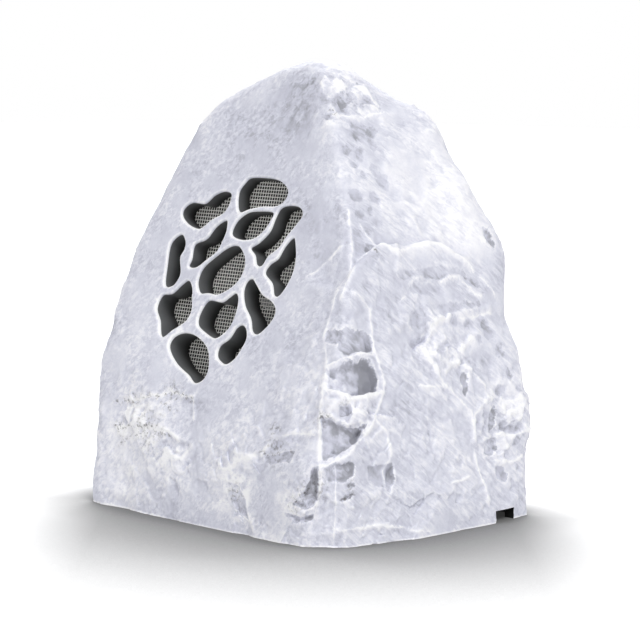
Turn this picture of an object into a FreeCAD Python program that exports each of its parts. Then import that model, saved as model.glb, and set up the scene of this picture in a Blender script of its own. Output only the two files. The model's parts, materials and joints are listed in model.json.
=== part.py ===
"""Outdoor loudspeaker in the form of a boulder.

A hollow cast rock stands on its rim. Its leaning front face has thirteen cell openings with a wire
mesh behind them, a two-way driver looks out through the mesh, and an amplifier board sits on the
recessed base plate. Millimetres, +Z up, origin on the ground under the middle of the rock, front
towards -Y.
"""
import FreeCAD
import Part
import math
import os
import Sketcher
from types import SimpleNamespace

Vector = FreeCAD.Vector
Placement = FreeCAD.Placement
Rotation = FreeCAD.Rotation

# Driving dimensions: alias, value, what it is
SIZES = [
    ("rock_width", 320, "rock, left to right"),
    ("rock_depth", 254, "rock, front to back"),
    ("rock_height", 400, "rock, ground to summit"),
    ("rock_wall", 10, "wall of the rock shell"),
    ("rock_rows", 44, "facets from the rim to the summit"),
    ("front_lean", 18, "lean of the front face, degrees"),
    ("front_break", 62, "height where the front face starts to lean"),
    ("swell", 3.2, "height of the broad swells in the rock"),
    ("craze", 2.6, "height of the sharp creases in the rock"),
    ("breakage", 3.2, "height of the broken facets in the rock"),
    ("crest_step", 7, "step of the boulder crest on the right face"),
    ("driver_x", -27, "driver axis, sideways"),
    ("driver_height", 207, "driver axis on the front face, height"),
    ("baffle_lean", 15, "lean of the baffle, degrees"),
    ("cell_depth", 20, "rock in front of the mesh, on the driver axis"),
    ("notch_width", 28, "cable notch, width"),
    ("notch_height", 10.5, "cable notch, height"),
    ("notch_y", 86, "cable notch, middle"),
    ("mesh_half_width", 106, "mesh panel, half width"),
    ("mesh_half_height", 120, "mesh panel, half height"),
    ("mesh_rim", 11, "mesh panel, flat rim"),
    ("mesh_thick", 1.2, "mesh panel, thickness"),
    ("mesh_pitch", 18, "mesh bars, spacing"),
    ("mesh_bar", 1.8, "mesh bars, width"),
    ("baffle_thick", 10, "baffle plate, thickness"),
    ("baffle_hole", 71, "baffle plate, radius of the driver opening"),
    ("baffle_screw", 2, "baffle screws, shank radius"),
    ("baffle_screw_grip", 9, "baffle screws, length in the rock"),
    ("base_level", 44, "underside of the base plate"),
    ("base_thick", 5, "base plate, thickness"),
    ("base_gap", 1, "base plate, gap to the rock"),
    ("seal_thick", 2, "base seal, thickness"),
    ("ledge_width", 15, "ledge that takes the base plate, width"),
    ("ledge_thick", 12, "ledge that takes the base plate, thickness"),
    ("base_screw", 2, "base screws, shank radius"),
    ("base_screw_grip", 9, "base screws, length in the ledge"),
    ("frame_radius", 84, "driver frame, radius"),
    ("frame_seat", 72, "driver frame, inner radius of the flange"),
    ("frame_thick", 2.5, "driver frame, flange thickness"),
    ("frame_wall", 2, "driver frame, wall of the basket"),
    ("frame_depth", 44, "driver frame, flange front to the foot"),
    ("frame_foot", 46, "driver frame, radius of the foot"),
    ("frame_bolt", 78, "driver frame, radius of the screw circle"),
    ("gasket_thick", 2, "driver gasket, thickness"),
    ("cone_radius", 58, "cone, outer radius"),
    ("cone_wall", 0.9, "cone, wall"),
    ("cone_drop", 26, "cone, rim to neck"),
    ("roll_radius", 5.5, "surround, radius of the roll"),
    ("roll_wall", 0.8, "surround, wall"),
    ("coil_radius", 13, "voice coil, inner radius of the former"),
    ("coil_wall", 0.4, "voice coil, wall of the former"),
    ("winding_wall", 0.6, "voice coil, thickness of the winding"),
    ("winding_height", 11, "voice coil, height of the winding"),
    ("coil_clear", 0.5, "voice coil, clearance in the gap"),
    ("spider_radius", 36, "spider, outer radius"),
    ("spider_wall", 0.7, "spider, wall"),
    ("plate_radius", 44, "front pole plate, radius"),
    ("plate_thick", 6, "pole plates, thickness"),
    ("magnet_radius", 50, "magnet, radius"),
    ("magnet_bore", 20, "magnet, radius of the bore"),
    ("magnet_thick", 18, "magnet, thickness"),
    ("post_radius", 5, "tweeter post, radius"),
    ("tweeter_radius", 17, "tweeter cup, radius"),
    ("tweeter_deep", 13, "tweeter cup, depth"),
    ("tweeter_front", 3.5, "tweeter, distance behind the mesh"),
    ("dome_radius", 10, "tweeter dome, radius"),
    ("board_x", -27, "amplifier board, middle, sideways"),
    ("board_y", 5, "amplifier board, middle, front to back"),
    ("board_length", 130, "amplifier board, length"),
    ("board_width", 96, "amplifier board, width"),
    ("board_thick", 1.6, "amplifier board, thickness"),
    ("board_boss", 10, "bosses under the board, height"),
    ("board_screw", 1.5, "board screws, shank radius"),
    ("tag_thick", 4, "tag strip on the basket, thickness"),
    ("lead_radius", 2, "speaker lead, radius"),
    ("lead_slack", 22, "speaker lead, loop in front of the board"),
    ("gland_x", 84, "cable gland, sideways"),
    ("gland_y", 52, "cable gland, front to back"),
    ("gland_thread", 8, "cable gland, thread radius"),
    ("gland_bore", 3.3, "cable gland, radius of the cable hole"),
    ("gland_flat", 11, "cable gland, half width across flats"),
]


def make_sheet(doc):
    """Put the driving dimensions into a sheet of the document."""
    sheet = doc.addObject("Spreadsheet::Sheet", "Sizes")
    for row, (alias, value, note) in enumerate(SIZES, start=1):
        sheet.set(f"A{row}", note)
        sheet.set(f"B{row}", str(value))
        sheet.setAlias(f"B{row}", alias)
    doc.recompute()
    return sheet


doc = FreeCAD.newDocument("boulder_speaker")
sheet = make_sheet(doc)
size = SimpleNamespace(**{alias: float(sheet.get(alias)) for alias, _, _ in SIZES})


# Helpers that bind shapes to the sheet
def cell(expression):
    """Turn words into references to the sheet: every word in braces is an alias."""
    return expression.replace("{", "Sizes.").replace("}", "")


def worth(expression):
    """Number that an expression gives with the present sizes."""
    return float(sheet.evalExpression(cell(expression)))


def bind(thing, **properties):
    """Bind properties of an object to expressions."""
    for name, expression in properties.items():
        thing.setExpression(name, cell(expression))
    return thing


def stand(thing, x="0", y="0", z="0"):
    """Bind the place of an object that isn't turned."""
    for axis, expression in zip("xyz", (x, y, z)):
        thing.setExpression(f"Placement.Base.{axis}", cell(expression))
    return thing


def follow(thing, frame):
    """Bind the placement of an object to a reference frame."""
    thing.setExpression("Placement", f"{frame.Name}.Placement")
    return thing


def cylinder(name, radius, height):
    return bind(doc.addObject("Part::Cylinder", name), Radius=radius, Height=height)


def box(name, length, width, height):
    return bind(doc.addObject("Part::Box", name), Length=length, Width=width, Height=height)


def hexagon(name, half_flat, height):
    """Hexagonal prism given by half its width across flats."""
    prism = doc.addObject("Part::Prism", name)
    prism.Polygon = 6
    return bind(prism, Circumradius=f"({half_flat}) / cos(30)", Height=height)


def cut(name, base, tool):
    result = doc.addObject("Part::Cut", name)
    result.Base = base
    result.Tool = tool
    return result


def fuse(name, pieces):
    result = doc.addObject("Part::MultiFuse", name)
    result.Shapes = pieces
    return result


def common(name, pieces):
    result = doc.addObject("Part::MultiCommon", name)
    result.Shapes = pieces
    return result


def group(name, pattern, placements):
    """Compound of equal pieces: linked copies of one pattern piece."""
    links = []
    for number, placement in enumerate(placements, start=1):
        link = doc.addObject("App::Link", f"{name}_{number}")
        link.LinkedObject = pattern
        link.LinkTransform = False
        link.Placement = placement
        links.append(link)
    result = doc.addObject("Part::Compound", name)
    result.Links = links
    return result


def solid(name, shape):
    """Object whose shape is worked out from the sheet here."""
    result = doc.addObject("Part::Feature", name)
    result.Shape = shape
    return result


# Helpers for bodies made from sketches
def sketch_on(body, role, name):
    sketch = body.newObject("Sketcher::SketchObject", name)
    plane = next(feature for feature in body.Origin.OriginFeatures if feature.Role == role)
    sketch.AttachmentSupport = [(plane, "")]
    sketch.MapMode = "FlatFace"
    return sketch


def arc_between(start, end, radius, side):
    """Arc from start to end, bulging to the left (side 1) or right (side -1) of its chord."""
    chord = end - start
    left = Vector(-chord.y, chord.x, 0).normalize()
    half = chord.Length / 2
    rise = math.sqrt(max(radius * radius - half * half, 0))
    centre = start + chord * 0.5 - left * (side * rise)
    middle = centre + left * (side * radius)
    return Part.Arc(start, middle, end)


def draw_loop(sketch, corners):
    """Closed outline in a sketch: each corner is (x, y) or, after an arc, (x, y, radius, side).

    Every corner and radius is held by a constraint that is bound to the sheet.
    """
    points = [Vector(worth(corner[0]), worth(corner[1]), 0) for corner in corners]
    count = len(corners)
    for index, start in enumerate(points):
        target = corners[(index + 1) % count]
        end = points[(index + 1) % count]
        if len(target) == 2:
            sketch.addGeometry(Part.LineSegment(start, end), False)
        else:
            sketch.addGeometry(arc_between(start, end, worth(target[2]), target[3]), False)
    first_end = [edge_end(sketch, index, points[index]) for index in range(count)]
    for index in range(count):
        following = (index + 1) % count
        sketch.addConstraint(Sketcher.Constraint(
            "Coincident", index, 3 - first_end[index], following, first_end[following]))
    for index, corner in enumerate(corners):
        hold(sketch, "DistanceX", index, first_end[index], points[index].x, corner[0])
        hold(sketch, "DistanceY", index, first_end[index], points[index].y, corner[1])
        target = corners[(index + 1) % count]
        if len(target) == 4:
            number = sketch.addConstraint(Sketcher.Constraint("Radius", index, worth(target[2])))
            sketch.setExpression(f"Constraints[{number}]", cell(target[2]))


def edge_end(sketch, index, point):
    """Which end of an edge lies at a point: 1 is its start and 2 its end."""
    return 1 if sketch.getPoint(index, 1).distanceToPoint(point) < 1e-6 else 2


def hold(sketch, kind, edge, end, value, expression):
    """Dimension from the sketch's origin to an edge's end."""
    number = sketch.addConstraint(Sketcher.Constraint(kind, -1, 1, edge, end, value))
    sketch.setExpression(f"Constraints[{number}]", cell(expression))


def draw_circle(sketch, x, y, radius):
    """Circle whose middle and radius are bound to the sheet."""
    centre = Vector(worth(x), worth(y), 0)
    edge = sketch.addGeometry(Part.Circle(centre, Vector(0, 0, 1), worth(radius)), False)
    hold(sketch, "DistanceX", edge, 3, centre.x, x)
    hold(sketch, "DistanceY", edge, 3, centre.y, y)
    number = sketch.addConstraint(Sketcher.Constraint("Radius", edge, worth(radius)))
    sketch.setExpression(f"Constraints[{number}]", cell(radius))


def turned(name, corners):
    """Body turned round its own Z axis from a profile of (radius, height) corners."""
    body = doc.addObject("PartDesign::Body", name)
    sketch = sketch_on(body, "XZ_Plane", f"{name}_profile")
    draw_loop(sketch, corners)
    turn = body.newObject("PartDesign::Revolution", f"{name}_turn")
    turn.Profile = sketch
    turn.ReferenceAxis = (sketch, ["V_Axis"])
    turn.Angle = 360
    return body


def padded(name, corners, height, role="XY_Plane", level="0"):
    """Body padded from a closed outline, from a level above its plane."""
    body = doc.addObject("PartDesign::Body", name)
    sketch = sketch_on(body, role, f"{name}_outline")
    sketch.setExpression("AttachmentOffset.Base.z", cell(level))
    draw_loop(sketch, corners)
    pad = body.newObject("PartDesign::Pad", f"{name}_pad")
    pad.Profile = sketch
    bind(pad, Length=height)
    return body


def pocket(body, name, role, draw, depth, reverse):
    """Pocket from a sketch on an origin plane of the body; depth None cuts right through."""
    sketch = sketch_on(body, role, f"{name}_outline")
    draw(sketch)
    doc.recompute()
    before = body.Shape.Volume
    feature = body.newObject("PartDesign::Pocket", name)
    feature.Profile = sketch
    feature.Reversed = reverse
    if depth is None:
        feature.Type = "ThroughAll"
        feature.Midplane = True
    else:
        bind(feature, Length=depth)
    doc.recompute()
    if body.Shape.Volume > before - 1e-3:
        raise RuntimeError(f"{name} cuts nothing")
    return feature


def rectangle(half_x, half_y, x="0", y="0"):
    """Corners of a rectangle about a middle point."""
    return [(f"({x}) + ({sx}) * ({half_x})", f"({y}) + ({sy}) * ({half_y})")
            for sx, sy in ((-1, -1), (1, -1), (1, 1), (-1, 1))]


# Chopped faces of the rock: azimuth, lean, inset from the box round the rock, height of that inset.
# A height below zero is measured down from the summit.
FACETS = {
    "front_foot": (-91, 2, 3, 0),
    "front": (-90, size.front_lean, 0, size.front_break),
    "front_right": (-48, 2, 28, 0),
    "right_foot": (-8, 1, 14, 0),
    "right_back_foot": (4, 1, 6, 0),
    "right_face": (-3, 11, 18, 90),
    "right_upper": (-8, 27, 64, -134),
    "right_top": (-14, 36, 103, -75),
    "back_right_foot": (45, 0, 8, 0),
    "back_right": (45, 9, 8, 81),
    "back_right_upper": (45, 29, 23, -178),
    "back_right_top": (45, 58, 134, -32),
    "back_foot": (90, 1, 0, 0),
    "back": (93, 4, 5, 95),
    "back_top": (80, 34, 52, -70),
    "back_left": (138, 9, 1, 60),
    "left_foot": (181, -3, 2, 40),
    "left_upper": (188, 13, 0, -210),
    "left_top": (178, 41, 36, -60),
    "front_left": (-135, -1, 8, 60),
    "front_left_upper": (-135, 26, 2, 143),
    "front_left_top": (-135, 58, 111, -44),
    "summit": (-140, 77, 212, -1),
}
ROUNDING = 48
FRONT_FACETS = ("front_foot", "front")
POCKET_FACETS = {"front_right": 12}

# Broad lumps and dips of the rock: azimuth, height, radius, rise
LUMPS = {
    "right_shoulder": (40, 234, 40, 6),
    "right_waist": (42, 182, 40, -6),
    "right_knee": (40, 84, 38, 8),
    "summit_shelf": (46, 346, 40, 14),
    "front_crag": (-124, 84, 46, 4),
    "front_lump": (-113, 55, 30, 4),
    "front_wave": (-70, 44, 34, 4),
    "left_foot_lump": (-140, 120, 60, 4),
}
# Chipped hollows with flat floors: azimuth, height, half width, half height, depth
CHIPS = {
    "upper_pocket": (-30, 168, 15, 12, 9),
    "corner_pocket": (-37, 172, 9, 6, 6),
    "bowl": (-32, 138, 23, 16, 11),
    "shelf_pocket": (-35, 113, 7, 6, 6),
    "flat_pocket": (-36, 92, 18, 16, 7),
    "lower_pocket": (-37, 63, 14, 9, 6),
    "square_pocket": (-24, 56, 12, 11, 6),
    "crag_pocket": (16, 121, 6, 12, 5),
    "crag_middle": (27, 91, 7, 12, 5),
    "crag_lower": (25, 66, 8, 10, 5),
    "crag_foot": (28, 40, 8, 7, 4),
    "eye": (39, 242, 6, 11, 7),
    "crag_hollow": (-124, 78, 32, 11, 3),
    "crag_roof": (-120, 98, 30, 7, 3),
    "wave_hollow": (-72, 31, 12, 17, 3),
    "wave_inner": (-55, 71, 17, 6, 3),
    "undercut": (-46, 48, 11, 19, 7),
    "undercut_foot": (-48, 23, 14, 6, 5),
}
# Ledges: (azimuth, height) along each, and the step back under it
LEDGES = {
    "upper_ledge": ([(-7, 200), (0, 213), (23, 211), (30, 194)], 3),
    "lower_ledge": ([(-6, 174), (-2, 167), (8, 177), (33, 182)], 4),
}
# Patches of broken rock: azimuth, height, radius, roughness
CRAGS = {
    "front_crag": (-128, 92, 44, 1.5),
    "front_foot": (-112, 50, 40, 1.0),
    "wave": (-72, 46, 44, 0.9),
    "undercut": (-50, 36, 26, 1.2),
    "corner": (-34, 110, 60, 0.6),
    "right": (30, 90, 56, 1.1),
    "boulder": (10, 160, 60, 0.5),
    "summit": (-10, 370, 60, 1.4),
    "shelf": (46, 346, 46, 1.2),
    "left": (190, 140, 110, 0.7),
    "back": (100, 150, 150, 0.8),
}


def facet(azimuth, lean, inset, height):
    """Outward normal of one chopped face and its distance from the origin."""
    turn = math.radians(azimuth)
    tilt = math.radians(lean)
    if height < 0:
        height = size.rock_height + height
    reach = abs(math.cos(turn)) * size.rock_width / 2 + abs(math.sin(turn)) * size.rock_depth / 2 - inset
    normal = Vector(math.cos(turn) * math.cos(tilt), math.sin(turn) * math.cos(tilt), math.sin(tilt))
    return normal, reach * math.cos(tilt) + height * math.sin(tilt)


faces = {name: facet(*values) for name, values in FACETS.items()}


def chopped_radius(way):
    """Distance from the origin to the chopped block, its edges rounded, in a given direction."""
    total = sum((max(normal.dot(way), 0) / distance) ** ROUNDING for normal, distance in faces.values())
    return total ** (-1 / ROUNDING)


def reach(azimuth, height, inset=0.0):
    """Plan distance from the axis to the sharp chopped faces at a height."""
    way = Vector(math.cos(math.radians(azimuth)), math.sin(math.radians(azimuth)), 0)
    grazing = 0.05
    found = []
    for normal, distance in faces.values():
        along = normal.dot(way)
        if along > grazing:
            found.append((distance - inset - normal.z * height) / along)
    return min(found)


def on_face(azimuth, height):
    """Point of the sharp chopped block at an azimuth and a height."""
    out = reach(azimuth, height)
    return Vector(out * math.cos(math.radians(azimuth)), out * math.sin(math.radians(azimuth)), height)


def on_block(azimuth, height):
    """Point of the rounded block towards that point of the sharp one."""
    way = on_face(azimuth, height).normalize()
    return way * chopped_radius(way)


def sideways(azimuth):
    """Level direction along the face at an azimuth."""
    turn = math.radians(azimuth)
    return Vector(-math.sin(turn), math.cos(turn), 0)


def ease(value):
    """Smooth step from 0 to 1."""
    value = min(max(value, 0.0), 1.0)
    return value * value * (3 - 2 * value)


def lattice(i, j, k):
    """Fixed scattered value from 0 to 1 at one point of a lattice."""
    value = math.sin(i * 127.1 + j * 311.7 + k * 74.7) * 43758.5453
    return value - math.floor(value)


def swirl(point, pitch, offset=0):
    """Smooth scattered field from -1 to 1 whose swells are about a pitch wide."""
    grid = [math.floor((value + offset) / pitch) for value in point]
    share = [ease((value + offset) / pitch - low) for value, low in zip(point, grid)]
    total = 0.0
    for corner in range(8):
        step = [(corner >> axis) & 1 for axis in range(3)]
        weight = 1.0
        for axis in range(3):
            weight *= share[axis] if step[axis] else 1 - share[axis]
        total += weight * lattice(grid[0] + step[0], grid[1] + step[1], grid[2] + step[2])
    return 2 * total - 1


def broken(point, pitch):
    """Field of tilted facets with steps between them, about -0.5 to 0.5, as broken stone has."""
    bend = 3
    bend_pitch = 20
    bend_shift = 90
    scaled = [(value + bend * swirl(point, bend_pitch, shift)) / pitch
              for value, shift in zip(point, (0, bend_shift, -bend_shift))]
    best = None
    for number in range(27):
        i = math.floor(scaled[0]) + number // 9 - 1
        j = math.floor(scaled[1]) + number // 3 % 3 - 1
        k = math.floor(scaled[2]) + number % 3 - 1
        seed = (i + lattice(i, j, k), j + lattice(j, k, i), k + lattice(k, i, j))
        gap = [value - place for value, place in zip(scaled, seed)]
        far = sum(value * value for value in gap)
        if best is None or far < best[0]:
            best = (far, gap, (i, j, k))
    _, gap, (i, j, k) = best
    tilt = (lattice(i + 7, j, k), lattice(i, j + 7, k), lattice(i, j, k + 7))
    return sum(value * (2 * slope - 1) for value, slope in zip(gap, tilt))


def roughness(point):
    """How broken the rock is at a point."""
    total = 0.4
    for middle, radius, weight in crags:
        total += weight * (1 - ease(point.distanceToPoint(middle) / radius))
    return total


def lumped(point):
    """Rise of the broad lumps at a point."""
    total = 0.0
    for middle, radius, rise in lumps:
        gap = point.distanceToPoint(middle) / radius
        if gap < 1:
            total += rise * (1 - gap * gap) ** 2
    return total


def chipped(point):
    """Depth of the chipped hollows at a point."""
    floor = 0.6
    wall = 0.5
    total = 0.0
    for middle, side, half_width, half_height, depth in chips:
        away = point - middle
        if away.Length < 2 * max(half_width, half_height):
            gap = math.hypot(away.dot(side) / half_width, away.z / half_height)
            total += depth * (1 - ease((gap - floor) / wall))
    return total


def stepped(point):
    """Depth of the steps back under the ledges at a point."""
    step_reach = 16
    step_wall = 6
    total = 0.0
    for corners, step in ledges:
        gap, above = min(line_gap(point, start, end) for start, end in zip(corners, corners[1:]))
        total += step * math.exp(-(gap / step_reach) ** 2) * ease(0.5 - above / step_wall)
    return total


def line_gap(point, start, end):
    """Distance to a straight line between two points, and the height above it."""
    way = end - start
    share = min(max((point - start).dot(way) / way.dot(way), 0), 1)
    away = point - start - way * share
    return away.Length, away.z


lumps = [(on_face(azimuth, height), radius, rise) for azimuth, height, radius, rise in LUMPS.values()]
crags = [(on_face(azimuth, height), radius, weight) for azimuth, height, radius, weight in CRAGS.values()]
chips = [(on_block(azimuth, height), sideways(azimuth), *sizes) for azimuth, height, *sizes in CHIPS.values()]
ledges = [([on_block(*place) for place in places], step) for places, step in LEDGES.values()]


def crest_height(y):
    """Arched upper edge of the boulder that swells out of the right face."""
    crest_top = 242
    flat_half = 20
    drop = 0.0095
    return crest_top - drop * max(abs(y) - flat_half, 0) ** 2


def boulder_step(point):
    """Right face above the boulder's crest stands back, and fades into the back corner and the summit."""
    side = ease((point.x - 62) / 34) * (1 - ease((point.y - 40) / 40))
    above = ease((point.z - crest_height(point.y)) / 9)
    fade = 1 - ease((point.z - 290) / 50)
    return size.crest_step * side * above * fade


def front_point(height):
    """Point of the leaning front face, in the driver's upright plane."""
    back = math.tan(math.radians(size.front_lean)) * (height - size.front_break)
    return Vector(size.driver_x, back - size.rock_depth / 2, height)


def quiet(point):
    """The face round the cell openings is almost flat: share of the relief that is left there."""
    flat_half_width = 128
    flat_half_height = 142
    middle = front_point(size.driver_height)
    spread = math.hypot((point.x - middle.x) / flat_half_width, (point.z - middle.z) / flat_half_height)
    near = 1 - ease((spread - 0.75) / 0.3)
    facing = 1 - ease((point.y - middle.y - 70) / 40)
    return 1 - 0.9 * near * facing


def relief(point):
    """How far the rock's skin stands out from the chopped block."""
    swell_pitch = 62
    craze_pitch = 27
    break_pitch = 34
    broad = size.swell * swirl(point, swell_pitch)
    sharp = size.craze * (0.5 - abs(swirl(point, craze_pitch)) * 1.4)
    stone = size.breakage * roughness(point) * broken(point, break_pitch)
    sunk = chipped(point) + stepped(point) + boulder_step(point)
    return quiet(point) * (broad + sharp + stone) + lumped(point) - sunk


def skin_point(way):
    """Point of the rock's skin in a direction from the origin, kept in the overall box."""
    base = way * chopped_radius(way)
    out = base + Vector(way) * relief(base)
    half_width = size.rock_width / 2
    half_depth = size.rock_depth / 2
    x = min(max(out.x, -half_width), half_width)
    y = min(max(out.y, -half_depth), half_depth)
    return Vector(x, y, min(max(out.z, 0), size.rock_height))


def rock_skin():
    """Closed rock from triangular facets, finest at the front right: four triangles and a flat underside."""
    rows = int(size.rock_rows)
    crowding = Vector(0.25, -0.25, 0)
    points = {}

    def corner(i, j):
        if (i, j) not in points:
            way = Vector(i, j, rows - abs(i) - abs(j)).normalize()
            points[(i, j)] = skin_point((way + crowding).normalize())
        return (i, j)

    triangles = []
    for sign_x, sign_y in ((1, 1), (-1, 1), (-1, -1), (1, -1)):
        for i in range(rows):
            for j in range(rows - i):
                first = corner(sign_x * i, sign_y * j)
                along = corner(sign_x * (i + 1), sign_y * j)
                across = corner(sign_x * i, sign_y * (j + 1))
                triangles.append((first, along, across))
                if i + j < rows - 1:
                    triangles.append((along, corner(sign_x * (i + 1), sign_y * (j + 1)), across))
    lift_summit(points)
    skin = [Part.Face(Part.makePolygon([points[key] for key in keys + keys[:1]])) for keys in triangles]
    rim = [points[key] for key in rim_keys(rows)]
    skin.append(Part.Face(Part.makePolygon(rim + rim[:1])))
    shell = Part.Compound(skin)
    shell.sewShape()
    rock = Part.makeSolid(shell.Shells[0])
    rock.fix(1e-4, 1e-4, 1e-4)
    return rock


def rim_keys(rows):
    """Grid places round the rim, in order."""
    keys = []
    for sign_x, sign_y, across in ((1, 1, False), (-1, 1, True), (-1, -1, False), (1, -1, True)):
        for step in range(rows):
            if across:
                keys.append((sign_x * step, sign_y * (rows - step)))
            else:
                keys.append((sign_x * (rows - step), sign_y * step))
    return keys


def lift_summit(points):
    """Bring the highest point to the stated height."""
    top = max(point.z for point in points.values())
    for key, point in points.items():
        share = ease((point.z - 0.8 * top) / (0.2 * top))
        points[key] = point + Vector(0, 0, share * (size.rock_height - top))


# Frames of the baffle
def driver_frame():
    """Frame on the land that takes the mesh: X sideways, Y up the land, Z out along the driver axis."""
    frame = doc.addObject("App::Placement", "driver_frame")
    turn = Rotation(Vector(1, 0, 0), 90 - size.baffle_lean)
    out = turn.multVec(Vector(0, 0, 1))
    frame.Placement = Placement(front_point(size.driver_height) - out * size.cell_depth, turn)
    return frame


land = driver_frame()


def land_face():
    """Plane of the mesh land, as normal and distance."""
    normal = land.Placement.Rotation.multVec(Vector(0, 0, 1))
    return normal, normal.dot(land.Placement.Base)


def hollow_block(inset, low, high):
    """Space inside the chopped faces, moved in by an inset, between two heights."""
    span = 2 * (size.rock_width + size.rock_depth + size.rock_height)
    half_width = size.rock_width / 2 - inset
    half_depth = size.rock_depth / 2 - inset
    block = Part.makeBox(2 * half_width, 2 * half_depth, high - low, Vector(-half_width, -half_depth, low))
    inner = {name: (normal, distance - inset - POCKET_FACETS.get(name, 0))
             for name, (normal, distance) in faces.items() if name not in FRONT_FACETS}
    normal, distance = land_face()
    inner["land"] = (normal, distance - inset + size.rock_wall)
    for normal, distance in inner.values():
        outside = Part.makeBox(span, span, span, Vector(-span / 2, -span / 2, 0))
        outside.Placement = Placement(normal * distance, Rotation(Vector(0, 0, 1), normal))
        block = block.cut(outside)
    return block


ledge_low = size.base_level + size.base_thick + size.seal_thick
ledge_high = ledge_low + size.ledge_thick

# Cell openings, in the driver frame: sideways and up
CELLS = {
    "crown": [(-3, 63), (-9, 79), (-4, 89), (4, 94), (30, 94), (44, 90), (52, 83), (50, 75), (41, 70),
              (25, 69), (10, 66)],
    "shoulder": [(-75, 56), (-74, 63), (-65, 68), (-49, 68), (-39, 76), (-28, 80), (-18, 78), (-17, 70),
                 (-22, 61), (-35, 54), (-45, 46), (-53, 45), (-66, 49)],
    "brow": [(-5, 42), (-3, 53), (6, 61), (17, 64), (39, 64), (39, 57), (33, 47), (23, 40), (8, 38)],
    "scythe": [(23, 31), (32, 37), (41, 47), (44, 59), (48, 68), (58, 71), (70, 70), (76, 64), (72, 56),
               (63, 44), (57, 34), (47, 26), (42, 17), (35, 17), (30, 25)],
    "flank": [(48, 10), (51, 18), (59, 24), (64, 35), (72, 43), (77, 35), (81, 21), (79, 6), (72, -7),
              (65, -8), (59, 2)],
    "slot": [(-79, 10), (-81, 26), (-77, 34), (-69, 38), (-62, 32), (-61, 25), (-64, 17), (-59, 4),
             (-60, -3), (-65, -9), (-75, -9)],
    "blade": [(-49, 17), (-49, 30), (-36, 36), (-27, 48), (-16, 54), (-13, 47), (-14, 38), (-18, 27),
              (-29, 18), (-40, 10), (-50, 10)],
    "heart": [(-31, -9), (-34, -1), (-31, 10), (-20, 20), (-5, 30), (6, 32), (14, 27), (20, 19), (20, 8),
              (13, -3), (-3, -12), (-17, -12), (-26, -13)],
    "hook": [(-77, -31), (-75, -19), (-63, -16), (-53, -7), (-46, -3), (-39, -9), (-35, -21), (-33, -30),
             (-37, -39), (-49, -48), (-60, -56), (-68, -42)],
    "kidney": [(-20, -41), (-21, -31), (-14, -19), (3, -19), (11, -14), (18, -10), (23, -15), (24, -28),
               (20, -40), (12, -48), (4, -51), (-9, -47)],
    "wedge": [(27, -8), (28, 1), (34, 4), (41, -1), (51, -9), (64, -14), (71, -21), (69, -30), (63, -38),
              (56, -43), (49, -41), (43, -30), (33, -20)],
    "petal": [(-47, -66), (-47, -57), (-39, -51), (-26, -50), (-12, -54), (-1, -61), (4, -70), (6, -81),
              (2, -89), (-7, -92), (-17, -86), (-34, -78)],
    "bean": [(13, -65), (14, -57), (23, -50), (29, -40), (35, -37), (41, -40), (44, -48), (41, -57),
             (36, -66), (27, -72), (18, -70)],
}


def cell_openings():
    """Prisms of the cell openings, from the mesh land out past the rock's skin."""
    sketch = doc.addObject("Sketcher::SketchObject", "cell_outlines")
    for outline in CELLS.values():
        curve = Part.BSplineCurve()
        curve.interpolate([Vector(x, y, 0) for x, y in outline], PeriodicFlag=True)
        sketch.addGeometry(curve, False)
    follow(sketch, land)
    prisms = doc.addObject("Part::Extrusion", "cell_prisms")
    prisms.Base = sketch
    prisms.DirMode = "Normal"
    prisms.Solid = True
    prisms.LengthRev = 1
    return bind(prisms, LengthFwd="3 * {cell_depth}")


def cable_notch():
    """Notch in the rim at the back of the right side."""
    notch = box("cable_notch", "{rock_width} / 2", "{notch_width}", "{notch_height} + 1")
    return stand(notch, "{rock_width} / 2 - 60", "{notch_y} - {notch_width} / 2", "-1")


# Places of the fasteners
BAFFLE_SCREW_ANGLES = (38, 90, 142, 218, 270, 322)
BASE_SCREW_ANGLES = (-150, -115, -62, -20, 25, 62, 118, 155)
DRIVER_SCREW_COUNT = 6


def on_baffle(angle, level):
    """Placement on the ring of baffle screws, at a level along the driver axis."""
    turn = math.radians(angle)
    inset = size.mesh_rim / 2
    x = (size.mesh_half_width - inset) * math.cos(turn)
    y = (size.mesh_half_height - inset) * math.sin(turn)
    return land.Placement.multiply(Placement(Vector(x, y, level), Rotation()))


def on_ledge(angle, level):
    """Placement under the middle of the ledge."""
    extra = POCKET_FACETS["front_right"] if -70 < angle < -30 else 0
    inset = size.rock_wall + size.ledge_width / 2 + extra
    out = min(reach(angle, ledge_low, inset), land_reach(angle, inset))
    turn = math.radians(angle)
    return Placement(Vector(out * math.cos(turn), out * math.sin(turn), level), Rotation())


def land_reach(angle, inset):
    """Plan distance from the axis to the ledge's middle behind the mesh land."""
    normal, distance = land_face()
    along = normal.dot(Vector(math.cos(math.radians(angle)), math.sin(math.radians(angle)), 0))
    if along < 0.05:
        return 1e6
    return (distance - inset + size.rock_wall - normal.z * ledge_low) / along


def screw(name, head_radius, head_height, shank_radius, shank_length):
    """Pan-head screw: the head below zero, the shank above."""
    return turned(name, [
        ("0", f"-({head_height})"),
        (f"({head_radius}) - 0.5 * ({head_height})", f"-({head_height})"),
        (head_radius, f"-0.5 * ({head_height})", f"0.5 * ({head_height})", -1),
        (head_radius, "0"),
        (shank_radius, "0"),
        (shank_radius, f"({shank_length}) - ({shank_radius})"),
        ("0", shank_length),
    ])


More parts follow.
